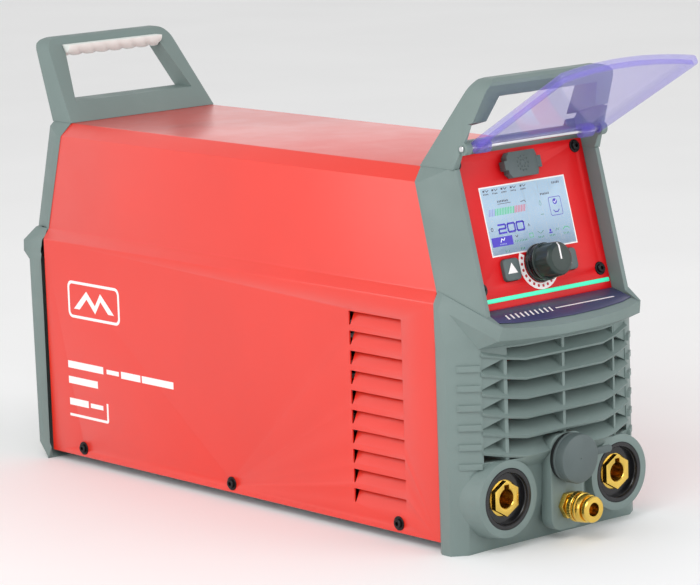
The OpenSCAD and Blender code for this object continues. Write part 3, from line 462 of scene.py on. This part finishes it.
# ---------- what repeats ----------
def spread_tree(material):
    """Copies a shape along a line, or round an arc when the radius isn't zero."""
    tree = bpy.data.node_groups.new("spread", "GeometryNodeTree")
    face = tree.interface
    ids = {}
    inputs = (("Shape", "Object"), ("Count", "Int"), ("Start", "Vector"), ("Step", "Vector"),
              ("Radius", "Float"), ("First Angle", "Float"), ("Angle Step", "Float"))
    for name, kind in inputs:
        ids[name] = face.new_socket(name=name, in_out="INPUT", socket_type="NodeSocket" + kind).identifier
    face.new_socket(name="Geometry", in_out="OUTPUT", socket_type="NodeSocketGeometry")
    node = tree.nodes.new
    wire = tree.links.new
    given = node("NodeGroupInput").outputs
    line = node("GeometryNodeMeshLine")
    wire(given["Count"], line.inputs["Count"])
    wire(given["Start"], line.inputs["Start Location"])
    wire(given["Step"], line.inputs["Offset"])
    angle = node("ShaderNodeMath")
    angle.operation = "MULTIPLY_ADD"
    wire(node("GeometryNodeInputIndex").outputs[0], angle.inputs[0])
    wire(given["Angle Step"], angle.inputs[1])
    wire(given["First Angle"], angle.inputs[2])
    round_it = node("ShaderNodeCombineXYZ")
    for axis, operation in (("X", "COSINE"), ("Y", "SINE")):
        wave = node("ShaderNodeMath")
        wave.operation = operation
        wire(angle.outputs[0], wave.inputs[0])
        reach = node("ShaderNodeMath")
        reach.operation = "MULTIPLY"
        wire(wave.outputs[0], reach.inputs[0])
        wire(given["Radius"], reach.inputs[1])
        wire(reach.outputs[0], round_it.inputs[axis])
    move = node("GeometryNodeSetPosition")
    wire(line.outputs[0], move.inputs["Geometry"])
    wire(round_it.outputs[0], move.inputs["Offset"])
    facing = node("ShaderNodeCombineXYZ")
    wire(angle.outputs[0], facing.inputs["Z"])
    rotation = node("FunctionNodeEulerToRotation")
    wire(facing.outputs[0], rotation.inputs[0])
    source = node("GeometryNodeObjectInfo")
    wire(given["Shape"], source.inputs["Object"])
    place = node("GeometryNodeInstanceOnPoints")
    wire(move.outputs[0], place.inputs["Points"])
    wire(source.outputs["Geometry"], place.inputs["Instance"])
    wire(rotation.outputs[0], place.inputs["Rotation"])
    real = node("GeometryNodeRealizeInstances")
    wire(place.outputs[0], real.inputs[0])
    paint = node("GeometryNodeSetMaterial")
    paint.inputs["Material"].default_value = material
    wire(real.outputs[0], paint.inputs["Geometry"])
    wire(paint.outputs[0], node("NodeGroupOutput").inputs["Geometry"])
    return tree, ids


def spread(name, shape, material, place, count, start=(0, 0, 0), step=(0, 0, 0), radius=0.0, first=0.0,
           each=0.0):
    """Copies of a shape made in its own frame, in millimetres; angles in degrees."""
    tree, ids = spread_tree(material)
    piece = link(name, bpy.data.meshes.new(name))
    modifier = piece.modifiers.new("spread", "NODES")
    modifier.node_group = tree
    values = {"Shape": shape, "Count": count, "Start": Vector(start), "Step": Vector(step),
              "Radius": float(radius), "First Angle": math.radians(first), "Angle Step": math.radians(each)}
    for key, value in values.items():
        modifier[ids[key]] = value
    evaluated(piece)
    bpy.data.objects.remove(shape)
    piece.data.transform(place)
    if place.determinant() < 0:
        piece.data.flip_normals()
    return piece


PLAIN = Matrix.Identity(4)


def hex_screw(radius, height, washer=0.0):
    """A cap screw's head with a hexagon socket, and a washer under it."""
    key = radius * 0.5
    rim = [(radius - 0.35, height), (radius, height - 0.35), (radius, washer)]
    if washer:
        rim += [(radius * 1.42, washer), (radius * 1.5, washer * 0.6), (radius * 1.5, 0)]
    head = lathe("head", [(0, height)] + rim + [(0, 0)], PLAIN, 36)
    tool = prism("key", [(key * math.cos(math.radians(60 * i)), key * math.sin(math.radians(60 * i)))
                         for i in range(6)], height - radius * 0.55, height + 1, PLAIN)
    return cut(head, tool)


# ---------- case ----------
def make_cover():
    cover = merged_copy("cover_shell", "top_cover")
    shape = bmesh.new()
    shape.from_mesh(cover.data)
    folds = [e for e in shape.edges if e.calc_length() > 300 * MM and e.calc_face_angle(0) > 0.3]
    bmesh.ops.bevel(shape, geom=folds, offset=1.1 * MM, segments=4, profile=0.5, affect="EDGES",
                    clamp_overlap=True)
    shape.to_mesh(cover.data)
    shape.free()
    soften(cover, 0.3)
    dress(cover, "case", FINISH["cover_paint"], ["top_cover"])


SIDE_BARS = (  # y at both ends, height and thickness
    (407, 369, 75.7, 5.4), (360.5, 349, 75.5, 3.4), (342, 324, 75.3, 5.2), (317, 285, 75.3, 5.2),
    (407, 376.5, 63.8, 5.4), (407, 389, 47.2, 5.2), (382, 370, 47, 3.4))


def make_side_marks():
    """Printed frame round a plain zigzag, bars and a corner rule, the same on both sides."""
    side = FRONT @ Matrix(((0, 0, -1, -COVER_R), (1, 0, 0, 0), (0, 1, 0, 0), (0, 0, 0, 1)))
    outer, inner = rounded(63, 28, 5), rounded(58.8, 23.8, 3.4)
    n = len(outer)
    points = [(x + 374.5, z + 126, h) for ring in (outer, inner) for x, z in ring for h in (0, PRINT)]
    faces = []
    for i in range(n):
        j = (i + 1) % n
        a, b, c, d = 2 * i, 2 * j, 2 * (n + j), 2 * (n + i)
        faces += [(a + 1, b + 1, c + 1, d + 1), (a, d, c, b), (a, b, b + 1, a + 1), (c, d, d + 1, c + 1)]
    parts = [solid("frame", points, faces, side)]
    zigzag = [(350, 119), (366, 133.5), (373, 123.5), (383, 133.5), (399, 119),
              (392, 119), (383, 127.5), (373, 117.5), (366, 127.5), (357, 119)]
    corner = ([(410, 36), (364, 36)] + arc(364, 38, 2, 270, 180, 4)
              + [(362, 51), (364, 51), (364, 38), (410, 38)])
    parts += [prism("mark", outline, 0, PRINT, side) for outline in (zigzag, corner)]
    for start, end, z, thick in SIDE_BARS:
        # Each bar runs half its thickness past both ends.
        start, end, half = start + thick / 2, end - thick / 2, thick / 2
        bar = [(start, z + half), (end, z + half), (end, z - half), (start, z - half)]
        parts.append(prism("bar", bar, 0, PRINT, side))
    left = joined("side_marks_left", parts)
    right = left.data.copy()
    right.transform(Matrix.Diagonal((-1, 1, 1, 1)))
    right.flip_normals()
    for piece in (left, link("side_marks_right", right)):
        dress(piece, "case", FINISH["print_white"])


def make_screws():
    for side, place in (("left", turn(-90, "Y")), ("right", turn(90, "Y"))):
        sign = -1 if side == "left" else 1
        heads = []
        for y in COVER_SCREW_YS:
            head = hex_screw(3.3, 2.3, 0.7)
            head.data.transform(FRONT @ shift(sign * (COVER_R + 0.02), y, COVER_SCREW_Z) @ place)
            heads.append(head)
        replaced = ["cover_screws"] if side == "left" else []
        dress(joined("cover_screws_" + side, heads), "case", FINISH["black_screw"], replaced)
    rows = [spread("row", hex_screw(3.0, 2.4, 0.9), FINISH["black_screw"], PANEL, 2, start=(-55, y, 0.02),
                   step=(110, 0, 0)) for y in (18, -67)]
    dress(joined("panel_screw_heads", rows), "case", FINISH["black_screw"], ["panel_screws"])


# ---------- mouldings, handles and grips ----------
def rounded_copy(name, width, node, segments=2):
    """A CAD node's own shape with its edges rounded."""
    return soften(merged_copy(name, node), width, segments)


def make_mouldings():
    """The front moulding and its handle look like one piece; the rear ones stay apart."""
    front = merged_copy("front_moulding", "front_bezel")
    cut(front, merged_copy("handle", "front_handle"), "UNION")
    soften(front, 0.8, 3)
    dress(front, "case", FINISH["grey_plastic"], ["front_bezel", "front_handle"])
    for name, width, node, segments in (("rear_moulding", 0.6, "rear_bezel", 2),
                                        ("rear_handle_shell", 1.2, "rear_handle", 3)):
        piece = rounded_copy(name, width, node, segments)
        dress(piece, "case", FINISH["grey_plastic"], [node])


def make_grip(name, place, node):
    """Half-round grip whose lobes run at a slant round it."""
    lobes, along, around = 7, 84, 20
    points, faces = [], []
    for i in range(along + 1):
        x = -GRIP_HALF + 2 * GRIP_HALF * i / along
        end = min(1, (1 - abs(x) / GRIP_HALF) / 0.03)
        for j in range(around + 1):
            angle = math.pi + math.pi * j / around
            slant = lobes * (x / (2 * GRIP_HALF) + 0.12 * math.cos(angle))
            dip = 0.5 + 0.5 * math.cos(2 * math.pi * slant)
            r = GRIP_R - 1.3 * dip ** 3 * math.sin(math.pi * j / around) - 0.7 * (1 - end)
            points.append((x, GRIP_AT[0] + r * math.cos(angle), GRIP_AT[1] - 0.05 + r * math.sin(angle)))
    row = around + 1
    for i in range(along):
        for j in range(around):
            a = i * row + j
            faces.append((a, a + 1, a + row + 1, a + row))
        faces.append((i * row, (i + 1) * row, (i + 1) * row + around, i * row + around))
    faces += [tuple(range(row)), tuple(range(along * row, (along + 1) * row))]
    dress(solid(name, points, faces, place), "case", FINISH["grip_plastic"], [node], 50)


# ---------- control panel ----------
def make_panel():
    for name, width, node, slot in (("panel_face", 0.35, "control_panel", "panel_red"),
                                    ("status_light", 0.5, "led_strip", "led_lens"),
                                    ("name_band", 0.3, "label_band", "label_film")):
        dress(rounded_copy(name, width, node), "case", FINISH[slot], [node])


def make_band_marks():
    """Plain slanted bars where the band's words were."""
    slope = math.atan(0.257)
    band_top = 0.72
    band = FRONT @ shift(0, -23.5, 161.143) @ Matrix.Rotation(slope, 4, "X")
    bar = prism("bar", [(0, 0), (1.5, 0), (3.6, 6.4), (2.1, 6.4)], 0, PRINT, PLAIN)
    bars = spread("band_bars", bar, FINISH["print_white"], band, 10, start=(-51, -16.5, band_top),
                  step=(4.4, 0, 0))
    rule = prism("rule", [(-5, -13.9), (50, -13.9), (50, -12.7), (-5, -12.7)], band_top, band_top + PRINT,
                 band)
    dress(joined("band_marks", [bars, rule]), "case", FINISH["print_white"])


SKY = linear(185, 212, 232)
INK = linear(66, 66, 82)
BLUE = linear(62, 44, 178)
GREEN = linear(86, 190, 140)
GREEN_INK = linear(96, 150, 140)
ROSE = linear(196, 120, 140)
LILAC = linear(140, 150, 200)
WHITE = linear(246, 249, 252)


class Picture:
    """Flat tinted shapes on the display, in the panel's own frame."""

    def __init__(self):
        self.points, self.faces, self.tints = [], [], []

    def shape(self, outline, tint, height=0.13):
        start = len(self.points)
        n = len(outline)
        for level in (height - 0.03, height):
            self.points += [(x, y, level) for x, y in outline]
        low = list(range(start, start + n))
        high = list(range(start + n, start + 2 * n))
        self.faces += [tuple(reversed(low)), tuple(high)]
        self.faces += [(low[i], low[(i + 1) % n], high[(i + 1) % n], high[i]) for i in range(n)]
        self.tints += [tint] * (n + 2)

    def bar(self, x, y, width, height, tint, lift=0.13, slant=0.0):
        top = y + height
        self.shape([(x, y), (x + width, y), (x + width + slant, top), (x + slant, top)], tint, lift)

    def disc(self, x, y, radius, tint, lift=0.13):
        self.shape(arc(x, y, radius, 0, 345, 23), tint, lift)

    def line(self, stops, width, tint, lift=0.13):
        for a, b in zip(stops, stops[1:]):
            a, b = Vector(a), Vector(b)
            along = (b - a).normalized() * width / 2
            across = Vector((-along.y, along.x))
            a, b = a - along, b + along
            self.shape([tuple(p) for p in (a - across, b - across, b + across, a + across)], tint, lift)

    def box(self, x, y, width, height, thick, tint):
        self.line([(x, y), (x + width, y), (x + width, y + height), (x, y + height), (x, y)], thick, tint)


def make_display():
    picture = Picture()
    picture.bar(-DISPLAY_W / 2, -DISPLAY_H, DISPLAY_W, DISPLAY_H, WHITE, 0.07)
    picture.bar(-DISPLAY_W / 2 + 0.9, -DISPLAY_H + 0.9, DISPLAY_W - 1.8, DISPLAY_H - 1.8, SKY, 0.1)
    chance = random.Random(4)
    for x in (-36.6, -28.4, -20, -11.4, -2.4):
        picture.bar(x, -3.4, 1.6, 1.2, INK)
        picture.line([(x + 2.4, -2.2), (x + 3.6, -3.4), (x + 5.2, -2.4)], 0.45, INK)
        for k in range(4):
            picture.bar(x + 0.2 + 1.25 * k, -5.4 - 0.3 * chance.random(), 0.7, 0.9, INK)
    for x, y, count in ((-25.4, -11.6, 7), (14.4, -11.3, 6), (27, -4.9, 5), (-16.6, -39.6, 8), (5, -39.6, 4),
                        (15.4, -39.8, 4), (28.6, -39.8, 4), (-27, -45, 3)):
        for k in range(count):
            tall = 1.1 + 0.4 * chance.random()
            picture.bar(x + 1.45 * k, y, 0.85, tall, INK if y > -38 else GREEN_INK)
    picture.line([(-25.4, -12.6), (-13.6, -12.6)], 0.35, INK)
    stripes = 23
    for k in range(stripes):
        tint = LILAC if k < 4 else (GREEN if k < 16 else ROSE)
        picture.bar(-35.6 + 1.48 * k, -20, 0.9, 4.6, tint, slant=1.3)
    picture.line([(-4.4, -13.4), (-1, -12.8), (0, -14)], 0.5, INK)
    digit_w, digit_h, stroke = 6.4, 5.6, 1.25
    for k, digit in enumerate("200"):
        x, y = -29 + 8.3 * k, -32
        left, right, low, high, mid = x, x + digit_w, y, y + digit_h, y + digit_h / 2
        if digit == "2":
            stops = [(left, high), (right - 0.6, high), (right, high - 0.6), (right, mid + 0.5),
                     (right - 0.6, mid), (left + 0.6, mid), (left, mid - 0.6), (left, low), (right, low)]
        else:
            stops = [(left + 0.7, low), (right - 0.7, low), (right, low + 0.7), (right, high - 0.7),
                     (right - 0.7, high), (left + 0.7, high), (left, high - 0.7), (left, low + 0.7),
                     (left + 0.7, low)]
        picture.line(stops, stroke, BLUE)
    picture.disc(-35.1, -28.8, 1.2, INK)
    picture.disc(-35.1, -28.8, 0.55, SKY, 0.15)
    picture.line([(-2.3, -30.4), (-1.5, -28.8), (-0.7, -30.4)], 0.4, INK)
    picture.bar(-37.4, -40.6, 19, 6.3, BLUE)
    picture.line([(-29.4, -37.8), (-28.2, -35.6), (-26.6, -37), (-25.4, -35.4)], 0.5, WHITE, 0.16)
    for k in range(5):
        picture.bar(-30.6 + 1.3 * k, -39.8, 0.75, 0.9, LILAC, 0.16)
    picture.line([(-15.2, -35.2), (-14.2, -36.2), (-13.2, -35)], 0.5, INK)
    picture.box(-2.6, -38, 3.2, 2.6, 0.45, GREEN)
    picture.line([(5.4, -35), (7.8, -36.6), (10.6, -35)], 0.45, GREEN_INK)
    picture.disc(17, -35.6, 0.9, BLUE)
    picture.bar(15.4, -37.6, 3.2, 0.9, BLUE)
    picture.line([(22, -36.4), (23, -35), (24.4, -36.2), (25.4, -34.8)], 0.45, GREEN_INK)
    picture.line([(28.8, -36.4), (30.6, -35), (33.4, -35.2), (34.6, -36.2)], 0.55, GREEN)
    frame_outline = rounded(11, 12.4, 1.2, 3)
    picture.line([(x + 26.4, y - 20) for x, y in frame_outline + frame_outline[:1]], 0.4, BLUE)
    picture.disc(26.4, -16.9, 2, BLUE)
    picture.line([(25.4, -16.9), (26.2, -17.8), (27.6, -16)], 0.5, WHITE, 0.16)
    picture.line([(24, -22.8), (25.2, -24), (27.6, -24), (28.8, -22.8)], 0.7, BLUE)
    picture.line([(12.7, -14.6), (11.6, -17), (12.7, -18.2), (13.8, -17), (12.7, -14.6)], 0.3, GREEN_INK)
    picture.bar(11.4, -24.4, 2.8, 0.5, GREEN_INK)
    for k in range(3):
        picture.bar(-13 + 1.5 * k, -45, 0.9, 1.4, GREEN_INK)
    screen = solid("display_picture", picture.points, picture.faces, PANEL)
    tint = screen.data.color_attributes.new("tint", "FLOAT_COLOR", "CORNER")
    for face, colour in zip(screen.data.polygons, picture.tints):
        for corner in face.loop_indices:
            tint.data[corner].color = colour
    dress(screen, "case", make_display_finish())
    for material_slot in frame["nodes"]["display_glass"].material_slots:
        material_slot.material = FINISH["print_white"]


def make_dial():
    outline = arc(0, 0, 17.65, 149.5, 390.5, 60) + arc(0, 0, 13.35, 390.5, 149.5, 60)
    ring = prism("dial_scale", outline, 0, 0.4, PANEL @ shift(0, KNOB_UP, 0.01))
    dress(ring, "case", FINISH["dial_white"], ["dial_ring"])
    dot = prism("dot", rounded(1.9, 1.9, 0.5, 3), 0, 0.06, PLAIN)
    dots = spread("dial_dots", dot, FINISH["print_red"], PANEL @ shift(0, KNOB_UP, 0.4), 15, radius=15.3,
                  first=159.5, each=15.8)
    dress(dots, "case", FINISH["print_red"])


def make_buttons():
    for side, body, sign in (("left", "left_button_body", -1), ("right", "right_button_body", 1)):
        place = PANEL @ shift(sign * BUTTON_X, BUTTON_UP, 0)
        outline = rounded(14.8, 14.8, 3.1)
        n = len(outline)
        points, faces = [], []
        rings = ((1, -3.4), (1, 1.9), (0.985, 2.35), (0.93, 2.7), (0.85, 2.86), (0.5, 2.9))
        for k, height in rings:
            points += [(x * k, y * k, height) for x, y in outline]
        for r in range(len(rings) - 1):
            for i in range(n):
                j = (i + 1) % n
                faces.append((r * n + i, r * n + j, (r + 1) * n + j, (r + 1) * n + i))
        faces += [tuple(range(n)), tuple(range(len(points) - n, len(points)))]
        key = solid(side + "_key", points, faces, place)
        dress(key, body, FINISH["button_rubber"], [side + "_button"])
        mark = [(-4.8, -2.6), (4, -2.6), (-0.2, 4.6)]
        if side == "right":
            mark = [(-1.2, -3.2), (1.2, -3.2), (1.2, 3.4), (-1.2, 3.4)]
        mark = prism(side + "_key_mark", mark, KEY_TOP, KEY_TOP + 0.08, place)
        dress(mark, body, FINISH["print_white"])


def make_knob():
    place = PANEL @ shift(0, KNOB_UP, 0)
    skirt = [(0, 1), (12.8, 1), (13.05, 1.3), (13.05, 2.8), (12.8, 3.1), (12.35, 3.3), (11.85, 6.9),
             (11.6, 7.15), (0, 7.15)]
    skirt = lathe("knob_skirt_turned", skirt, place, 72)
    dress(skirt, "knob_turn_body", FINISH["gloss_black"], ["knob_skirt"], 40)
    shoulder = [(9.55 + 2 * math.cos(a), 19 + 3 * math.sin(a)) for a in (0, 0.3, 0.6, 0.9, 1.2, 1.45)]
    grip = [(0, 7.3), (12.6, 7.3), (12.85, 7.6), (12.85, 8.3), (12.55, 8.6), (12.1, 8.75), (11.85, 14),
            (11.62, 18)] + shoulder + [(9.2, 22.5), (8.6, 22.9), (0, KNOB_FACE)]
    body = lathe("knob_grip", grip, place, 144)
    for i in range(8):
        at = turn(45 * (i + 0.5), "Z") @ shift(20, 0, 0)
        scoop = lathe("scoop", [(0, 9.9), (8.6, 9.9), (9, 10.6), (9, 25), (0, 25)], place @ at, 48)
        cut(body, scoop)
    soften(body, 0.25, 2, 30)
    dress(body, "knob_turn_body", FINISH["knob_plastic"], ["knob"], 30)
    # The pointer's line over the face, the shoulder and down the side, as (radius, height).
    top = KNOB_FACE + 0.03
    run = [(-0.6, top), (8.4, top), (9.15, 22.6), (9.7, 22.02), (10.5, 21.7), (11.3, 20.5), (11.65, 19),
           (11.7, 17), (12.1, 9.2)]
    points = [(x, r, h) for r, h in run for x in (-0.65, 0.65)]
    points += [(x, r * 0.985 - 0.3, h - 0.3) for r, h in run for x in (-0.65, 0.65)]
    n = 2 * len(run)
    faces = []
    for k in range(0, n - 2, 2):
        faces += [(k, k + 1, k + 3, k + 2), (n + k, n + k + 2, n + k + 3, n + k + 1)]
        faces += [(k, k + 2, n + k + 2, n + k), (k + 1, n + k + 1, n + k + 3, k + 3)]
    faces += [(0, n, n + 1, 1), (n - 2, n - 1, 2 * n - 1, 2 * n - 2)]
    pointer = solid("knob_pointer", points, faces, place)
    dress(pointer, "knob_turn_body", FINISH["print_white"])


def make_port_cover():
    cover = rounded_copy("service_port_cover", 0.9, "port_cover")
    dress(cover, "port_cover_body", FINISH["button_rubber"], ["port_cover"])
    bead = lathe("bead", [(0, -0.1), (0.8, -0.1), (0.72, 0.25), (0.4, 0.5), (0, 0.55)], PLAIN, 12)
    place = PANEL @ shift(-0.2, PORT_UP, 5.72)
    rings = []
    for count, radius in ((6, 2.4), (11, 4.9)):
        again = link("bead", bead.data.copy())
        rings.append(spread("ring", again, FINISH["button_rubber"], place, count, radius=radius,
                            each=360 / count))
    bpy.data.objects.remove(bead)
    dress(joined("port_cover_beads", rings), "port_cover_body", FINISH["button_rubber"])


# ---------- lid ----------
def lid_half(u):
    return 59.2 + 3.1 * u / LID_LEN


def lid_height(u, f):
    return 3.2 + LID_BULGE * max(u, 0) ** 1.15 / LID_LEN ** 1.15 * (1 - f * f)


def crowned_block(name, inset, lift, depth, near, far):
    """Block under the lid's curved outer face, from u = near to u = far."""
    rows, columns = 26, 30
    points, faces = [], []
    for drop in (0, depth):
        for i in range(rows + 1):
            u = near + (far - near) * i / rows
            for j in range(columns + 1):
                f = -1 + 2 * j / columns
                points.append((f * (lid_half(u) - inset), -u, lid_height(u, f) + lift - drop))
    n = columns + 1
    base = n * (rows + 1)
    for i in range(rows):
        for j in range(columns):
            a = i * n + j
            faces += [(a, a + 1, a + n + 1, a + n), (base + a, base + a + n, base + a + n + 1, base + a + 1)]
    for i in range(rows):
        for a in (i * n, i * n + columns):
            faces.append((a, a + n, base + a + n, base + a))
    for j in range(columns):
        for a in (j, rows * n + j):
            faces.append((a, a + 1, base + a + 1, base + a))
    return solid(name, points, faces, LID)


def make_lid():
    outer = crowned_block("clear_cover", 0, 0, 7, 0, LID_LEN)
    soften(outer, 2.2, 4, 50)
    inner = crowned_block("inside", 2.5, -2.5, 12, -6, LID_LEN - 2.5)
    soften(inner, 1.2, 3, 50)
    lid = cut(outer, inner)
    soften(lid, 0.4, 2, 50)
    knuckles = []
    for sign in (-1, 1):
        middle = LID @ shift(sign * KNUCKLE_X, 0, 0)
        grooves = []
        for k in range(5):
            start = -5.5 + 2.2 * k
            grooves += [(4.05, start), (4.55, start + 0.35), (4.55, start + 1.75), (4.05, start + 2.1)]
        ring = [(2.15, -5.5)] + grooves + [(2.15, 5.5)]
        knuckles.append(lathe("knuckle", ring, middle @ turn(90, "Y"), 40))
        web = [(-5.3, -4.6), (5.3, -4.6), (5.3, -2.6), (-5.3, -2.6)]
        knuckles.append(prism("web", web, -1.8, 1.6, middle))
    lid = joined("clear_lid_shell", [lid] + knuckles)
    dress(lid, "lid_body", FINISH["clear_lid"], ["lid"], 40)


def make_lid_pin():
    half = 66.6
    # Full size where it sits in the moulding at both ends, thinner between them.
    profile = [(0, -half), (1.6, -half), (2, -half + 0.4), (2, -half + 5), (1.5, -half + 5.5),
               (1.5, half - 5.5), (2, half - 5), (2, half - 0.4), (1.6, half), (0, half)]
    rod = lathe("lid_rod", profile, FRONT @ shift(0, *HINGE) @ turn(90, "Y"), 40)
    dress(rod, "case", FINISH["bright_steel"], ["lid_pin"])


# ---------- connections ----------
def make_sockets():
    for side, x in (("left", -SOCKET_X), ("right", SOCKET_X)):
        place = out_of_front(x, SOCKET_Z) @ shift(0, 0, -SOCKET_FACE)
        profile = [(12.4, -30), (17, -30), (17, -9), (20.9, -9), (20.9, -0.6), (20.3, 0), (18.4, 0),
                   (17.9, -0.4), (17.5, -2.2), (17.2, -2.5), (17.2, -5), (12.4, -5)]
        body = lathe(side + "_socket_ring", profile, place, 96)
        dress(body, "case", FINISH["socket_black"], [side + "_socket_body"], 35)
        insert = rounded_copy(side + "_socket_brass", 0.45, side + "_socket_insert")
        dress(insert, "case", FINISH["brass"], [side + "_socket_insert"])


def make_connector():
    plate = rounded_copy("connector_pad", 1.4, "connector_plate")
    dress(plate, "case", FINISH["grey_plastic"], ["connector_plate"])
    socket = rounded_copy("control_socket", 0.3, "control_connector")
    dress(socket, "case", FINISH["black_plastic"], ["control_connector"])
    place = out_of_front(0, CONNECTOR_Z) @ shift(0, 0, -PLATE_Y)
    cap = [(0, 12.2), (13.4, 12.2), (13.4, 4.7), (16.4, 4.7), (16.85, 5.2), (16.85, 6.2), (16.3, 6.7),
           (16.3, 7.2), (16.85, 7.7), (16.85, 13.2), (16.5, 14.1), (15.7, 14.6), (0.9, 14.6), (0.5, 14.2),
           (0, 14.1)]
    cap = lathe("cap", cap, place, 96)
    strap = prism("strap", [(15.9, -2.5)] + arc(35.5, 0, 2.5, -90, 90, 8) + [(15.9, 2.5)], 4.8, 6.6, place)
    soften(strap, 0.5)
    dress(joined("dust_cap", [cap, strap]), "connector_cap_body", FINISH["cap_rubber"],
          ["connector_cap"], 35)


def make_coupler():
    place = out_of_front(0, COUPLER_Z) @ shift(0, 0, -PLATE_Y)
    profile = [(1.6, -33), (4, -33), (4, -25.8), (6, -25.8), (6, 1.6), (6.9, 1.6), (6.9, 21.3), (8.2, 21.9),
               (8.6, 22.7), (8.6, 23.7), (8.9, 24), (8.9, 25.5), (8.3, 26.3), (5.2, 26.5), (4.6, 26),
               (4.5, 25.3), (4.5, 10.9), (1.6, 10.9)]
    body = lathe("coupler_core", profile, place, 72)
    nut = prism("nut", [(9.8 * math.cos(math.radians(60 * i)), 9.8 * math.sin(math.radians(60 * i)))
                        for i in range(6)], 1.6, 5.9, place)
    soften(nut, 0.5)
    dress(joined("coupler_fixed", [body, nut]), "case", FINISH["brass"], ["gas_coupler_body"], 30)

    def knurl(angle, height):
        return 1 + (0.018 * math.cos(36 * angle) if 10.4 < height < 13 else 0)
    sleeve = [(6.97, 9.7), (9.9, 9.7), (10.3, 10.1), (10.3, 10.5), (10.3, 11.8), (10.3, 12.8), (10.3, 13.2),
              (10, 13.6), (9.2, 13.7), (9.2, 14.7), (9.8, 14.8), (10.1, 15.2), (10.1, 16.6), (9.4, 17),
              (9.4, 17.6), (9.9, 18), (9.7, 20.4), (9.3, 21.2), (6.97, 21.25)]
    dress(lathe("coupler_sleeve_turned", sleeve, place, 144, knurl), "coupler_sleeve_body", FINISH["brass"],
          ["gas_coupler_sleeve"], 30)


# ---------- rear fittings and inside ----------
REAR_PIECES = (  # piece, CAD node, slot, body and edge rounding
    ("fan_cage", "fan_guard", "bright_steel", "case", 0.3),
    ("fan_housing", "fan_frame", "black_plastic", "case", 0.4),
    ("fan_blades", "fan_rotor", "black_plastic", "fan_rotor_body", 0.3),
    ("fan_screw_heads", "fan_screws", "zinc_screw", "case", 0.3),
    ("switch_frame", "power_switch_body", "black_plastic", "case", 0.5),
    ("switch_key", "switch_rocker", "rocker_red", "switch_rocker_body", 0.4),
    ("cable_gland_nut", "cable_gland", "black_plastic", "case", 0.5),
    ("blank_plate", "rating_plate", "plate_aluminium", "case", 0.15),
    ("gas_inlet_fitting", "gas_inlet", "brass", "case", 0.3))


def make_rear():
    for name, node, slot, body, width in REAR_PIECES:
        dress(rounded_copy(name, width, node), body, FINISH[slot], [node])


def finish_cad_nodes():
    """Everything left from CAD gets its slot's finish."""
    for part in frame["record"]["subparts"]:
        if part["material_slot"] in FINISH:
            for material_slot in frame["nodes"][part["node"]].material_slots:
                material_slot.material = FINISH[part["material_slot"]]


def make_floor():
    mesh = bpy.data.meshes.new("floor")
    mesh.from_pydata([(-6, -6, 0), (6, -6, 0), (6, 6, 0), (-6, 6, 0)], [], [(0, 1, 2, 3)])
    floor = link("floor", mesh)
    paint = Finish("floor_paint", (0.92, 0.92, 0.92, 1), 0.8)
    paint.mottle(3, (0.91, 0.91, 0.91, 1), (0.93, 0.93, 0.93, 1))
    mesh.materials.append(paint.material)


look()
studio()
FINISH = make_finishes()
finish_cad_nodes()
make_cover()
make_side_marks()
make_screws()
make_mouldings()
make_grip("front_grip_lobed", FRONT, "front_grip")
make_grip("rear_grip_lobed", REAR, "rear_grip")
make_panel()
make_band_marks()
make_display()
make_dial()
make_buttons()
make_knob()
make_port_cover()
make_lid()
make_lid_pin()
make_sockets()
make_connector()
make_coupler()
make_rear()
make_floor()
